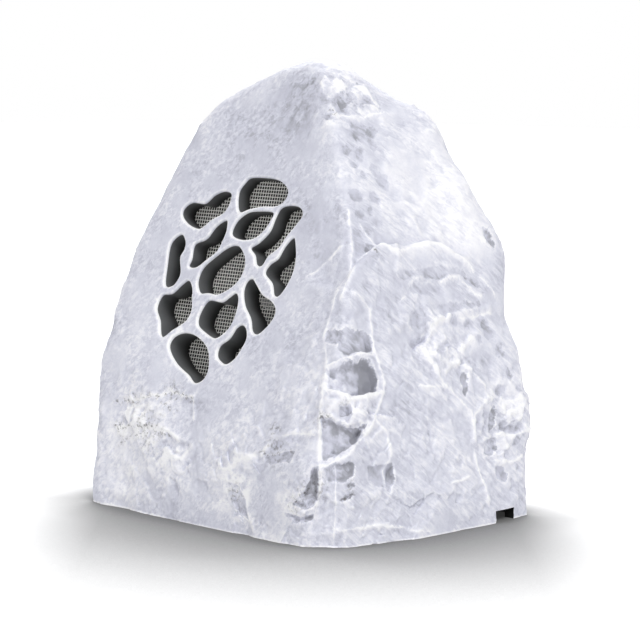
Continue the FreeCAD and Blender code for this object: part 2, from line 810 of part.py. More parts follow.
# Rock, base plate and their fasteners
def build_rock():
    block = solid("rock_block", rock_skin())
    inset = size.rock_wall
    rooms = fuse("rock_hollow", [
        solid("hollow_below", hollow_block(inset, -1, ledge_low)),
        solid("hollow_throat", hollow_block(inset + size.ledge_width, ledge_low - 1, ledge_high + 1)),
        solid("hollow_above", hollow_block(inset, ledge_high, size.rock_height)),
    ])
    baffle_pilot = cylinder("baffle_pilot", "{baffle_screw} + 0.05", "{baffle_screw_grip} + 2")
    base_pilot = cylinder("base_pilot", "{base_screw} + 0.05", "{base_screw_grip} + 2")
    pilots = [
        group("baffle_pilots", baffle_pilot, [on_baffle(angle, -1) for angle in BAFFLE_SCREW_ANGLES]),
        group("base_pilots", base_pilot, [on_ledge(angle, ledge_low - 1) for angle in BASE_SCREW_ANGLES]),
    ]
    tools = fuse("rock_cutters", [rooms, cell_openings(), cable_notch()] + pilots)
    return cut("rock_shell", block, tools)


def slab(name, inset, low, high):
    """Plate that follows the rock's inner outline."""
    return solid(name, hollow_block(inset, low, high))


def build_base_plate():
    top = size.base_level + size.base_thick
    plate = slab("base_slab", size.rock_wall + size.base_gap, size.base_level, top)
    hole = stand(cylinder("gland_hole", "{gland_thread} + 0.2", "{base_thick} + 2"),
                 "{gland_x}", "{gland_y}", "{base_level} - 1")
    boss = cylinder("board_boss_pattern", "4", "{board_boss}")
    bosses = group("board_bosses", boss, board_corners(top))
    bore = cylinder("boss_bore_pattern", "{board_screw} + 0.05", "{board_boss}")
    bores = group("boss_bores", bore, board_corners(top + 1))
    clear = cylinder("base_clearance", "{base_screw} + 0.3", "{base_thick} + 2")
    clears = group("base_clearances", clear,
                   [on_ledge(angle, size.base_level - 1) for angle in BASE_SCREW_ANGLES])
    return cut("base_plate", fuse("base_with_bosses", [plate, bosses]),
               fuse("base_cutters", [hole, bores, clears]))


def build_base_seal():
    low = size.base_level + size.base_thick
    high = low + size.seal_thick
    outer = slab("seal_outer", size.rock_wall + size.base_gap, low, high)
    inner = slab("seal_inner", size.rock_wall + size.ledge_width, low - 1, high + 1)
    clear = cylinder("seal_clearance", "{base_screw} + 0.3", "{seal_thick} + 2")
    clears = group("seal_clearances", clear, [on_ledge(angle, low - 1) for angle in BASE_SCREW_ANGLES])
    return cut("base_seal", outer, fuse("seal_cutters", [inner, clears]))


def build_base_screws():
    length = "{base_thick} + {seal_thick} + {base_screw_grip}"
    pattern = screw("base_screw_pattern", "4.2", "2.6", "{base_screw}", length)
    return group("base_screws", pattern, [on_ledge(angle, size.base_level) for angle in BASE_SCREW_ANGLES])


# Mesh and baffle
def ellipse_plate(name, half_width, half_height, low, high):
    """Elliptical plate in the driver frame, between two levels on its axis."""
    a = worth(half_width)
    b = worth(half_height)
    edge = Part.Ellipse(Vector(0, b, low), Vector(a, 0, low), Vector(0, 0, low)).toShape() if b > a else \
        Part.Ellipse(Vector(a, 0, low), Vector(0, b, low), Vector(0, 0, low)).toShape()
    plate = solid(name, Part.Face(Part.Wire([edge])).extrude(Vector(0, 0, high - low)))
    return follow(plate, land)


def build_mesh():
    """Flat rim round a net of crossing bars."""
    thick = size.mesh_thick
    panel = ellipse_plate("mesh_blank", "{mesh_half_width}", "{mesh_half_height}", -thick, 0)
    window = ellipse_plate("mesh_window", "{mesh_half_width} - {mesh_rim}", "{mesh_half_height} - {mesh_rim}",
                           -2 * thick, thick)
    gap = box("mesh_gap", "{mesh_pitch} - {mesh_bar}", "{mesh_pitch} - {mesh_bar}", "5 * {mesh_thick}")
    gaps = common("mesh_gaps", [window, group("mesh_gap_grid", gap, mesh_gap_places(-3 * thick))])
    hole = cylinder("mesh_clearance", "{baffle_screw} + 0.3", "{mesh_thick} + 2")
    holes = group("mesh_clearances", hole, [on_baffle(angle, -thick - 1) for angle in BAFFLE_SCREW_ANGLES])
    return cut("mesh_grille", panel, fuse("mesh_cutters", [gaps, holes]))


def mesh_gap_places(level):
    """Placements of the gaps whose middle lies inside the mesh window."""
    half_x = size.mesh_half_width - size.mesh_rim
    half_y = size.mesh_half_height - size.mesh_rim
    columns = int(half_x / size.mesh_pitch) + 1
    rows = int(half_y / size.mesh_pitch) + 1
    corner = (size.mesh_pitch - size.mesh_bar) / 2
    places = []
    for column in range(-columns, columns + 1):
        for row in range(-rows, rows + 1):
            x = column * size.mesh_pitch
            y = row * size.mesh_pitch
            if math.hypot(x / half_x, y / half_y) < 0.98:
                middle = Placement(Vector(x - corner, y - corner, level), Rotation())
                places.append(land.Placement.multiply(middle))
    return places


def build_baffle():
    front = -size.mesh_thick
    back = front - size.baffle_thick
    plate = ellipse_plate("baffle_blank", "{mesh_half_width}", "{mesh_half_height}", back, front)
    opening = cylinder("baffle_opening", "{baffle_hole}", "4 * {baffle_thick}")
    opening.Placement = land.Placement.multiply(Placement(Vector(0, 0, 2 * back), Rotation()))
    hole = cylinder("baffle_clearance", "{baffle_screw} + 0.3", "{baffle_thick} + 2")
    holes = group("baffle_clearances", hole, [on_baffle(angle, back - 1) for angle in BAFFLE_SCREW_ANGLES])
    pilot = cylinder("driver_pilot", "{board_screw} + 0.05", "8")
    pilots = group("driver_pilots", pilot, driver_screw_places(back - 1))
    return cut("baffle_plate", plate, fuse("baffle_cutters", [opening, holes, pilots]))


def build_baffle_screws():
    length = "{baffle_thick} + {mesh_thick} + {baffle_screw_grip}"
    pattern = screw("baffle_screw_pattern", "4.2", "2.6", "{baffle_screw}", length)
    back = -size.mesh_thick - size.baffle_thick
    return group("baffle_screws", pattern, [on_baffle(angle, back) for angle in BAFFLE_SCREW_ANGLES])


# Driver, in the driver frame: levels along its axis, counted outwards from the land
SEAT = "(-{mesh_thick} - {baffle_thick} - {gasket_thick})"
FOOT = f"({SEAT} - {{frame_depth}})"
GAP_OUTER = "({coil_radius} + {coil_wall} + {winding_wall} + {coil_clear})"
POLE = "({coil_radius} - {coil_clear})"
PLATE_BACK = f"({FOOT} - {{plate_thick}})"
MAGNET_BACK = f"({PLATE_BACK} - {{magnet_thick}})"
RIM = f"({SEAT} - 4)"
NECK = f"({RIM} - {{cone_drop}})"
COIL_OUT = "({coil_radius} + {coil_wall})"
ROLL_IN = "({cone_radius} - 1)"
ROLL_OUT = "({cone_radius} - 1 + 2 * {roll_radius})"
SPIDER_LEVEL = f"({NECK} - 6)"
TWEETER_FACE = "(-{mesh_thick} - {tweeter_front})"
TWEETER_BACK = f"({TWEETER_FACE} - {{tweeter_deep}})"


def driver_screw_places(level):
    places = []
    for number in range(DRIVER_SCREW_COUNT):
        turn = math.radians(30 + number * 360 / DRIVER_SCREW_COUNT)
        middle = Vector(size.frame_bolt * math.cos(turn), size.frame_bolt * math.sin(turn), level)
        places.append(land.Placement.multiply(Placement(middle, Rotation())))
    return places


def build_driver_screws():
    length = "{frame_thick} + {gasket_thick} + 6"
    pattern = screw("driver_screw_pattern", "3", "2", "{board_screw}", length)
    return group("driver_screws", pattern, driver_screw_places(worth(f"{SEAT} - {{frame_thick}}")))


def screw_circle(sketch):
    """Round holes on the driver's screw circle."""
    for number in range(DRIVER_SCREW_COUNT):
        turn = 30 + number * 360 / DRIVER_SCREW_COUNT
        draw_circle(sketch, f"{{frame_bolt}} * cos({turn})", f"{{frame_bolt}} * sin({turn})",
                    "{board_screw} + 0.2")


def build_gasket():
    gasket = turned("driver_gasket", [
        ("{baffle_hole} + 1", SEAT), ("{frame_radius}", SEAT),
        ("{frame_radius}", f"{SEAT} + {{gasket_thick}}"), ("{baffle_hole} + 1", f"{SEAT} + {{gasket_thick}}"),
    ])
    pocket(gasket, "gasket_holes", "XY_Plane", screw_circle, None, False)
    return follow(gasket, land)


def build_basket():
    """Pressed basket: flange, seat for the surround, conical wall with windows, spider shelf, flat foot."""
    shelf = f"({SPIDER_LEVEL} - {{spider_wall}})"
    seat = f"({RIM} - {{roll_wall}})"
    basket = turned("driver_basket", [
        ("{frame_radius}", SEAT),
        ("{frame_radius}", f"{SEAT} - {{frame_thick}}"),
        ("{frame_seat} + {frame_wall}", f"{SEAT} - {{frame_thick}}"),
        ("{frame_seat} + {frame_wall}", f"{seat} - {{frame_wall}}"),
        ("{frame_foot}", shelf),
        ("{frame_foot}", FOOT),
        (f"{GAP_OUTER} + 6", FOOT),
        (f"{GAP_OUTER} + 6", f"{FOOT} + {{frame_wall}}"),
        ("{frame_foot} - {frame_wall}", f"{FOOT} + {{frame_wall}}"),
        ("{frame_foot} - {frame_wall}", f"{shelf} - {{frame_wall}}"),
        ("{spider_radius} - 4", f"{shelf} - {{frame_wall}}"),
        ("{spider_radius} - 4", shelf),
        ("{frame_foot} - 1.5 * {frame_wall}", shelf),
        ("{frame_seat} - 6", f"{seat} - 2.5 * {{frame_wall}}"),
        ("{frame_seat} - 6", seat),
        ("{frame_seat}", seat),
        ("{frame_seat}", SEAT),
    ])
    windows(basket)
    pocket(basket, "basket_screw_holes", "XY_Plane", screw_circle, None, False)
    return follow(basket, land)


def windows(basket):
    """Six windows through the conical wall, between the legs."""
    count = 6

    def opening(sketch):
        draw_loop(sketch, [
            ("-12", "{frame_foot} - 4 * {frame_wall}"), ("12", "{frame_foot} - 4 * {frame_wall}"),
            ("22", "{frame_seat} - 8"), ("-22", "{frame_seat} - 8", "{frame_seat}", 1),
        ])

    first = pocket(basket, "basket_window", "XY_Plane", opening, f"-{SPIDER_LEVEL} + 0.5", False)
    ring_of = basket.newObject("PartDesign::PolarPattern", "basket_windows")
    ring_of.Originals = [first]
    ring_of.Axis = (first.Profile[0], ["N_Axis"])
    ring_of.Angle = 360
    ring_of.Occurrences = count
    basket.Tip = ring_of


def build_cone():
    """Flared paper cone: a curved wall from the neck on the coil to a flat lip under the surround."""
    cone = turned("driver_cone", [
        (COIL_OUT, NECK),
        (f"{COIL_OUT} + {{cone_wall}}", NECK),
        ("{cone_radius} - 5", f"{RIM} - {{roll_wall}} - {{cone_wall}}", "120", 1),
        ("{cone_radius}", f"{RIM} - {{roll_wall}} - {{cone_wall}}"),
        ("{cone_radius}", f"{RIM} - {{roll_wall}}"),
        ("{cone_radius} - 5 - {cone_wall}", f"{RIM} - {{roll_wall}}"),
        (COIL_OUT, f"{NECK} + 2.5", "120", -1),
    ])
    return follow(cone, land)


def build_surround():
    """Half-roll edge between the cone's lip and the basket's seat."""
    surround = turned("cone_surround", [
        ("{cone_radius} - 4.5", f"{RIM} - {{roll_wall}}"),
        ("{cone_radius}", f"{RIM} - {{roll_wall}}"),
        (f"{ROLL_OUT} - {{roll_wall}}", f"{RIM} - {{roll_wall}}",
         f"0.51 * ({ROLL_OUT} - {{roll_wall}} - {{cone_radius}})", 1),
        ("{frame_seat} - 0.3", f"{RIM} - {{roll_wall}}"),
        ("{frame_seat} - 0.3", RIM),
        (ROLL_OUT, RIM),
        (ROLL_IN, RIM, f"0.51 * ({ROLL_OUT} - {ROLL_IN})", -1),
        ("{cone_radius} - 4.5", RIM),
    ])
    return follow(surround, land)


def build_former():
    former = turned("coil_former", [
        ("{coil_radius}", f"{FOOT} - {{plate_thick}} - 3"), (COIL_OUT, f"{FOOT} - {{plate_thick}} - 3"),
        (COIL_OUT, f"{NECK} + 3"), ("{coil_radius}", f"{NECK} + 3"),
    ])
    return follow(former, land)


def build_winding():
    low = f"({FOOT} - {{plate_thick}} / 2 - {{winding_height}} / 2)"
    winding = turned("coil_winding", [
        (COIL_OUT, low), (f"{COIL_OUT} + {{winding_wall}}", low),
        (f"{COIL_OUT} + {{winding_wall}}", f"{low} + {{winding_height}}"),
        (COIL_OUT, f"{low} + {{winding_height}}"),
    ])
    return follow(winding, land)


def build_spider():
    """Corrugated cloth disc that centres the coil."""
    waves = 4
    wall = "{spider_wall}"
    inner = COIL_OUT
    pitch = f"(({{spider_radius}} - 4 - {inner} - 2) / {waves})"
    top = []
    low = []
    for number in range(waves + 1):
        radius = f"({inner} + 2 + {number} * {pitch})"
        lift = 1.2 if number % 2 else 0
        top.append((radius, f"{SPIDER_LEVEL} + {lift}"))
        low.append((radius, f"{SPIDER_LEVEL} - {wall} + {lift}"))
    corners = [(inner, f"{SPIDER_LEVEL} - {wall}")] + low
    corners += [("{spider_radius}", f"{SPIDER_LEVEL} - {wall}"), ("{spider_radius}", SPIDER_LEVEL)]
    corners += top[::-1] + [(inner, SPIDER_LEVEL)]
    return follow(turned("spider", corners), land)


def ring(name, inner, outer, low, high):
    body = turned(name, [(inner, low), (outer, low), (outer, high), (inner, high)])
    return follow(body, land)


def build_motor():
    """Front pole plate, ferrite ring and the yoke with its pole."""
    plate = ring("front_pole_plate", GAP_OUTER, "{plate_radius}", PLATE_BACK, FOOT)
    magnet = ring("magnet_ring", "{magnet_bore}", "{magnet_radius}", MAGNET_BACK, PLATE_BACK)
    bevel = 2
    yoke = turned("yoke", [
        ("{post_radius} - 2", f"{MAGNET_BACK} - {{plate_thick}}"),
        (f"{{plate_radius}} - {bevel}", f"{MAGNET_BACK} - {{plate_thick}}"),
        ("{plate_radius}", f"{MAGNET_BACK} - {{plate_thick}} + {bevel}"),
        ("{plate_radius}", MAGNET_BACK),
        (POLE, MAGNET_BACK),
        (POLE, FOOT),
        ("{post_radius} - 2", FOOT),
    ])
    return [plate, magnet, follow(yoke, land)]


def build_tweeter():
    """Small dome tweeter on a post that stands on the pole."""
    post = turned("tweeter_post", [
        ("1.5", FOOT), ("{post_radius}", FOOT), ("{post_radius}", f"{TWEETER_BACK} - 2"),
        ("{post_radius} + 3", TWEETER_BACK), ("1.5", TWEETER_BACK),
    ])
    cup = turned("tweeter_cup", [
        ("1.5", TWEETER_BACK), ("{tweeter_radius} - 3", TWEETER_BACK),
        ("{tweeter_radius}", f"{TWEETER_BACK} + 4"), ("{tweeter_radius}", f"{TWEETER_FACE} - 2"),
        ("{tweeter_radius} - 2", f"{TWEETER_FACE} - 2"), ("{tweeter_radius} - 2", f"{TWEETER_FACE} - 6"),
        ("{dome_radius} - 2", f"{TWEETER_FACE} - 6"), ("{dome_radius} - 2", f"{TWEETER_BACK} + 3"),
        ("1.5", f"{TWEETER_BACK} + 3"),
    ])
    rise = 3.5
    bow = f"(({{dome_radius}} ^ 2 + {rise} ^ 2) / (2 * {rise}))"
    dome = turned("tweeter_dome", [
        ("0", f"{TWEETER_FACE} - 6 + {rise}"),
        ("{dome_radius}", f"{TWEETER_FACE} - 6", bow, 1),
        ("{tweeter_radius} - 2.2", f"{TWEETER_FACE} - 6"),
        ("{tweeter_radius} - 2.2", f"{TWEETER_FACE} - 5.2"),
        ("{dome_radius}", f"{TWEETER_FACE} - 5.2"),
        ("0", f"{TWEETER_FACE} - 5.2 + {rise}", bow, -1),
    ])
    bezel = turned("tweeter_bezel", [
        ("{dome_radius} + 0.5", f"{TWEETER_FACE} - 5.2"), ("{tweeter_radius} - 2.2", f"{TWEETER_FACE} - 5.2"),
        ("{tweeter_radius} - 2.2", f"{TWEETER_FACE} - 2"), ("{tweeter_radius}", f"{TWEETER_FACE} - 2"),
        ("{tweeter_radius}", f"{TWEETER_FACE} - 1"), ("{tweeter_radius} - 1", TWEETER_FACE),
        ("{dome_radius} + 3", TWEETER_FACE),
    ])
    return [follow(piece, land) for piece in (post, cup, dome, bezel)]


# Board on the base plate
BOARD_LOW = "({base_level} + {base_thick} + {board_boss})"
BOARD_TOP = f"({BOARD_LOW} + {{board_thick}})"
BOARD_HOLE_INSET = 5


def board_corners(level):
    """Placements of the four board fixings at a level."""
    half_x = size.board_length / 2 - BOARD_HOLE_INSET
    half_y = size.board_width / 2 - BOARD_HOLE_INSET
    return [Placement(Vector(size.board_x + sx * half_x, size.board_y + sy * half_y, level), Rotation())
            for sx, sy in ((-1, -1), (1, -1), (1, 1), (-1, 1))]


def on_board(body, x, y):
    """Stand a component on the board, at an offset from its middle."""
    return stand(body, f"{{board_x}} + ({x})", f"{{board_y}} + ({y})", BOARD_TOP)


def build_board():
    board = padded("amplifier_board", rectangle("{board_length} / 2", "{board_width} / 2"), "{board_thick}")

    def holes(sketch):
        for sx, sy in ((-1, -1), (1, -1), (1, 1), (-1, 1)):
            draw_circle(sketch, f"{sx} * ({{board_length}} / 2 - {BOARD_HOLE_INSET})",
                        f"{sy} * ({{board_width}} / 2 - {BOARD_HOLE_INSET})", "{board_screw} + 0.2")

    pocket(board, "board_holes", "XY_Plane", holes, None, False)
    return stand(board, "{board_x}", "{board_y}", BOARD_LOW)


def build_board_screws():
    """Screws through the board into the bosses, heads up."""
    pattern = screw("board_screw_pattern", "2.8", "2", "{board_screw}", "{board_thick} + {board_boss} - 3")
    flip = Rotation(Vector(1, 0, 0), 180)
    return group("board_screws", pattern,
                 [Placement(place.Base, flip) for place in board_corners(worth(BOARD_TOP))])


def build_jack():
    """Network jack at the board's right edge, open to the right."""
    half_width = "8"
    length = "21"
    height = "13.5"
    jack = padded("network_jack", rectangle(f"{length} / 2", half_width), height)

    def mouth(sketch):
        draw_loop(sketch, [("-5.9", "2.5"), ("5.9", "2.5"), ("5.9", "9"), ("3.1", "9"), ("3.1", "11"),
                           ("-3.1", "11"), ("-3.1", "9"), ("-5.9", "9")])

    sketch_side_cut(jack, "jack_mouth", mouth, "14")
    return on_board(jack, f"{{board_length}} / 2 - {length} / 2 + 1", "-20")


def sketch_side_cut(body, name, draw, depth):
    """Blind pocket from the right-hand end of a padded block."""
    doc.recompute()
    end = max(range(len(body.Shape.Faces)), key=lambda index: body.Shape.Faces[index].CenterOfMass.x)
    sketch = body.newObject("Sketcher::SketchObject", f"{name}_outline")
    sketch.AttachmentSupport = [(body.Tip, f"Face{end + 1}")]
    sketch.MapMode = "FlatFace"
    draw(sketch)
    doc.recompute()
    before = body.Shape.Volume
    feature = body.newObject("PartDesign::Pocket", name)
    feature.Profile = sketch
    bind(feature, Length=depth)
    doc.recompute()
    if body.Shape.Volume > before - 1e-3:
        raise RuntimeError(f"{name} cuts nothing")


def build_heat_sink():
    """Extruded comb of fins on a plate."""
    fins = 8
    half = 25
    plate = 4
    tall = 26
    fin = 1.8
    step = (2 * half - fin) / (fins - 1)
    corners = [(str(-half), "0"), (str(half), "0")]
    for number in range(fins - 1, -1, -1):
        left = -half + number * step
        corners += [(str(left + fin), str(tall)), (str(left), str(tall))]
        if number:
            corners += [(str(left), str(plate)), (str(left - step + fin), str(plate))]
    sink = padded("heat_sink", corners, "38", "XZ_Plane")
    return on_board(sink, "28", "40")


def build_capacitors():
    """Three radial electrolytic cans with a rolled neck."""
    pattern = turned("capacitor_pattern", [
        ("0", "0"), ("6", "0"), ("6", "2"), ("5.5", "2.7"), ("6", "3.4"),
        ("6", "19"), ("5", "20"), ("0", "20"),
    ])
    top = worth(BOARD_TOP)
    return group("filter_capacitors", pattern,
                 [Placement(Vector(size.board_x - 52 + 15 * number, size.board_y + 30, top), Rotation())
                  for number in range(3)])


def build_transformer():
    """Isolating transformer: a ferrite block with a waisted winding."""
    transformer = padded("isolating_transformer", [
        ("-13", "0"), ("13", "0"), ("13", "4"), ("10.5", "4"), ("10.5", "14"), ("13", "14"), ("13", "18"),
        ("-13", "18"), ("-13", "14"), ("-10.5", "14"), ("-10.5", "4"), ("-13", "4"),
    ], "22", "XZ_Plane")
    return on_board(transformer, "-46", "6")


def build_chokes():
    """Two output chokes: ring cores standing flat."""
    pattern = turned("choke_pattern", [
        ("3", "0"), ("8", "0"), ("9", "1"), ("9", "7"), ("8", "8"), ("3", "8"),
    ])
    top = worth(BOARD_TOP)
    return group("output_chokes", pattern,
                 [Placement(Vector(size.board_x + 22 * number - 18, size.board_y - 22, top), Rotation())
                  for number in (0, 1)])


def build_module():
    """Shielded network module: a flat can."""
    module = padded("network_module", rectangle("15", "13"), "4")
    doc.recompute()
    top = [f"Edge{number}" for number, edge in enumerate(module.Shape.Edges, start=1)
           if min(point.Point.z for point in edge.Vertexes) > 3.9]
    block = module.Tip
    bevel = module.newObject("PartDesign::Chamfer", "module_bevel")
    bevel.Base = (block, top)
    bevel.Size = 0.8
    return on_board(module, "-15", "4")


def build_terminal():
    """Screw terminal for the speaker lead, its mouth towards the front."""
    terminal = padded("lead_terminal", [
        ("0", "0"), ("9", "0"), ("9", "7"), ("6.5", "11"), ("2.5", "11"), ("0", "8"),
    ], "11", "YZ_Plane")
    return on_board(terminal, "-5.5", "-{board_width} / 2 + 1")


def build_tags():
    """Solder tag strip on the underside of the basket's foot, its back hollowed to the foot's curve."""
    half = "9"
    back = f"-sqrt({{frame_foot}} ^ 2 - {half} ^ 2)"
    strip = padded("tag_strip", [
        (f"-{half}", "-{frame_foot} - {tag_thick}"), (half, "-{frame_foot} - {tag_thick}"),
        (half, back), (f"-{half}", back, "{frame_foot}", 1),
    ], "6", level=f"{FOOT} + 0.5")
    return follow(strip, land)


def rounded_path(points, bend):
    """Straight runs joined by tangent arcs."""
    edges = []
    start = points[0]
    for before, corner, after in zip(points, points[1:], points[2:]):
        inward = (before - corner).normalize()
        onward = (after - corner).normalize()
        half = inward.getAngle(onward) / 2
        leg = bend / math.tan(half)
        middle = corner + (inward + onward).normalize() * (bend / math.sin(half) - bend)
        edges.append(Part.makeLine(start, corner + inward * leg))
        edges.append(Part.Arc(corner + inward * leg, middle, corner + onward * leg).toShape())
        start = corner + onward * leg
    edges.append(Part.makeLine(start, points[-1]))
    return Part.Wire(edges)


def build_lead():
    """Twin lead from the tag strip on the basket down to the screw terminal on the board."""
    down = land.Placement.Rotation.multVec(Vector(0, -1, 0))
    start = land.Placement.multVec(Vector(0, -size.frame_foot - size.tag_thick, worth(f"{FOOT} + 3.5")))
    mouth = size.board_y - size.board_width / 2 + 1
    level = worth(BOARD_TOP) + 4
    loop = mouth - size.lead_slack
    points = [
        start,
        start + down * 14,
        Vector(size.driver_x, loop, level + 24),
        Vector(size.driver_x, loop, level),
        Vector(size.driver_x, mouth, level),
    ]
    path = rounded_path(points, 8)
    rim = Part.Wire(Part.makeCircle(size.lead_radius, start, down))
    return solid("speaker_lead", path.makePipeShell([rim], True, True))


# Cable gland through the base plate, from the cap below to the locknut above
def at_gland(piece, level):
    return stand(piece, "{gland_x}", "{gland_y}", level)


def build_gland():
    flange = hexagon("gland_flange", "{gland_flat}", "5")
    at_gland(flange, "{base_level} - 5")
    stem = at_gland(cylinder("gland_stem", "{gland_thread}", "{base_thick} + 10"), "{base_level} - 1")
    collar = at_gland(cylinder("gland_collar", "{gland_thread}", "9"), "{base_level} - 13")
    bore = at_gland(cylinder("gland_body_bore", "5.2", "60"), "{base_level} - 30")
    body = cut("gland_body", fuse("gland_blank", [flange, stem, collar]), bore)
    nut = at_gland(turned("gland_nut", [
        ("{gland_thread} + 0.1", "-6"), ("{gland_thread} + 2.6", "-6"), ("{gland_thread} + 2.6", "-13"),
        ("{gland_thread} - 1", "-18"), ("4.4", "-18"), ("4.4", "-14.6"), ("{gland_thread} + 0.1", "-14.6"),
    ]), "{base_level}")
    seal = at_gland(turned("gland_seal", [
        ("{gland_bore}", "-14.6"), ("7.4", "-14.6"), ("7.4", "-13"), ("5.2", "-13"), ("5.2", "-2"),
        ("{gland_bore}", "-2"),
    ]), "{base_level}")
    lock = hexagon("locknut_blank", "{gland_flat}", "5")
    at_gland(lock, "{base_level} + {base_thick}")
    lock_bore = at_gland(cylinder("locknut_bore", "{gland_thread} + 0.05", "20"), "{base_level}")
    return [body, nut, seal, cut("gland_locknut", lock, lock_bore)]


def build_all():
    """Every sub-part of the speaker, in the order it is put together."""
    pieces = [build_rock(), build_mesh(), build_baffle(), build_baffle_screws()]
    pieces += [build_gasket(), build_basket(), build_driver_screws(), build_surround(), build_cone()]
    pieces += [build_former(), build_winding(), build_spider()] + build_motor() + build_tweeter()
    pieces += [build_base_plate(), build_base_seal(), build_base_screws(), build_board()]
    pieces += [build_board_screws(), build_jack(), build_heat_sink(), build_capacitors()]
    pieces += [build_transformer(), build_chokes(), build_module(), build_terminal()]
    pieces += [build_tags(), build_lead()] + build_gland()
    return pieces


def check(pieces):
    """Stop at the first object that failed or has no sound shape."""
    for thing in doc.Objects:
        if "Invalid" in thing.State or "Error" in thing.State:
            raise RuntimeError(f"{thing.Name} failed: {thing.State}")
    for piece in pieces:
        if piece.Shape.isNull() or not piece.Shape.isValid() or not piece.Shape.Solids:
            raise RuntimeError(f"{piece.Label} has no sound solid")


def main():
    pieces = build_all()
    doc.recompute()
    check(pieces)
    os.makedirs("parts", exist_ok=True)
    for piece in pieces:
        piece.Shape.exportStep(os.path.join("parts", f"{piece.Label}.step"))


main()
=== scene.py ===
"""Looks of the boulder loudspeaker: the rock's skin, its wire mesh, finishes, floor, light and camera."""
import json
import math
from functools import reduce
import bpy
import bmesh
import numpy as np
from mathutils import Matrix, Vector


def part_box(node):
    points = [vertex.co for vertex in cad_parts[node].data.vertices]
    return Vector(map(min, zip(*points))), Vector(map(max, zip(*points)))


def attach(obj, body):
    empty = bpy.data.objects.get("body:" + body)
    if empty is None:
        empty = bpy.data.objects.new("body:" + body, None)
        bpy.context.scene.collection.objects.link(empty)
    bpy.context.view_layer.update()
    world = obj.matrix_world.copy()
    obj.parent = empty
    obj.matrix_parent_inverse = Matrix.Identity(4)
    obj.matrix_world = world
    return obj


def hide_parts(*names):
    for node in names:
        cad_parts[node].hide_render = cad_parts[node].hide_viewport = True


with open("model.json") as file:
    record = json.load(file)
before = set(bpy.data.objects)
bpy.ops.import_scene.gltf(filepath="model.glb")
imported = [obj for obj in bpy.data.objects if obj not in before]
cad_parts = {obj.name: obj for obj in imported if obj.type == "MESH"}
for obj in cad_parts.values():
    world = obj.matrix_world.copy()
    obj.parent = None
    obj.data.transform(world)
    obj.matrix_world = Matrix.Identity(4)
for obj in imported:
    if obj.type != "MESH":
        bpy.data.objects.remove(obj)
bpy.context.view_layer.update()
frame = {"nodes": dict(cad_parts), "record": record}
MM = 0.001
FAR = 1e6
TINY = 1e-9

# Overall size of the rock, from the frame, in millimetres
rock_low, rock_high = (np.array(corner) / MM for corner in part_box("rock_shell"))
HALF_WIDTH = (rock_high[0] - rock_low[0]) / 2
HALF_DEPTH = (rock_high[1] - rock_low[1]) / 2
HEIGHT = rock_high[2]

# Chopped faces of the rock: azimuth, lean, inset from the box round the rock, height of that inset.
# A height below zero is measured down from the summit.
FRONT_LEAN = 18
FRONT_BREAK = 62
FACETS = {
    "front_foot": (-91, 2, 3, 0),
    "front": (-90, FRONT_LEAN, 0, FRONT_BREAK),
    "front_right": (-48, 2, 28, 0),
    "right_foot": (-8, 1, 14, 0),
    "right_back_foot": (4, 1, 6, 0),
    "right_face": (-3, 11, 18, 90),
    "right_upper": (-8, 27, 64, -134),
    "right_top": (-14, 36, 103, -75),
    "back_right_foot": (45, 0, 8, 0),
    "back_right": (45, 9, 8, 81),
    "back_right_upper": (45, 29, 23, -178),
    "back_right_top": (45, 58, 134, -32),
    "back_foot": (90, 1, 0, 0),
    "back": (93, 4, 5, 95),
    "back_top": (80, 34, 52, -70),
    "back_left": (138, 9, 1, 60),
    "left_foot": (181, -3, 2, 40),
    "left_upper": (188, 13, 0, -210),
    "left_top": (178, 41, 36, -60),
    "front_left": (-135, -1, 8, 60),
    "front_left_upper": (-135, 26, 2, 143),
    "front_left_top": (-135, 58, 111, -44),
    "summit": (-140, 77, 212, -1),
}
# Sharpness of the edges between the faces
ROUNDING = 48
# Wall of the rock, the faces whose wall the mesh land sets, and what the wall gains behind deep pockets
ROCK_WALL = 10
FRONT_FACETS = ("front_foot", "front")
POCKET_FACETS = {"front_right": 12}
# Height and pitch of the broad swells and of the sharp creases, and how far a crease cuts in
SWELL = 3.2
SWELL_PITCH = 62
CRAZE = 2.6
CRAZE_PITCH = 27
CRAZE_CUT = 1.4
# Broken stone: height and pitch of its facets, how far and how wide they are warped, its least share, and
# the height, pitch and shift of the ridges on it
BREAKS = ((3.2, 34), (2.2, 15), (1.3, 7))
WARP = 3
WARP_PITCH = 20
WARP_SHIFTS = (0, 90, -90)
LEAST_BROKEN = 0.4
RIDGE = 0.5
RIDGE_PITCH = 8
RIDGE_SHIFT = 40
# Boulder on the right face: the step back above its crest, the crest's top, bend, flat half and blend, and
# where the step starts and how far it fades along x, y and z
CREST_STEP = 7
CREST_TOP = 242
CREST_BEND = 0.0095
CREST_FLAT = 20
CREST_BLEND = 9
BOULDER_X = (62, 34)
BOULDER_Y = (40, 40)
BOULDER_Z = (290, 50)
# Almost flat stretch round the cells: half width and height, share of the relief that it loses, where its
# fades outwards and backwards start and how far they go, and height and pitch of its own swells
QUIET_HALF = (128, 142)
QUIET_SHARE = 0.9
QUIET_OUT = (0.75, 0.3)
QUIET_BACK = (70, 40)
QUIET_SWELL = 0.25
QUIET_PITCH = 18

# Broad lumps of the rock: azimuth, height, radius, rise
LUMPS = {
    "right_shoulder": (40, 234, 40, 6),
    "right_waist": (42, 182, 40, -6),
    "right_knee": (40, 84, 38, 8),
    "summit_shelf": (46, 346, 40, 11),
    "front_crag": (-124, 84, 46, 4),
    "front_lump": (-113, 55, 30, 4),
    "front_wave": (-70, 44, 34, 4),
    "left_foot_lump": (-138, 138, 62, 6.5),
    "left_base": (-140, 8, 46, 4),
}
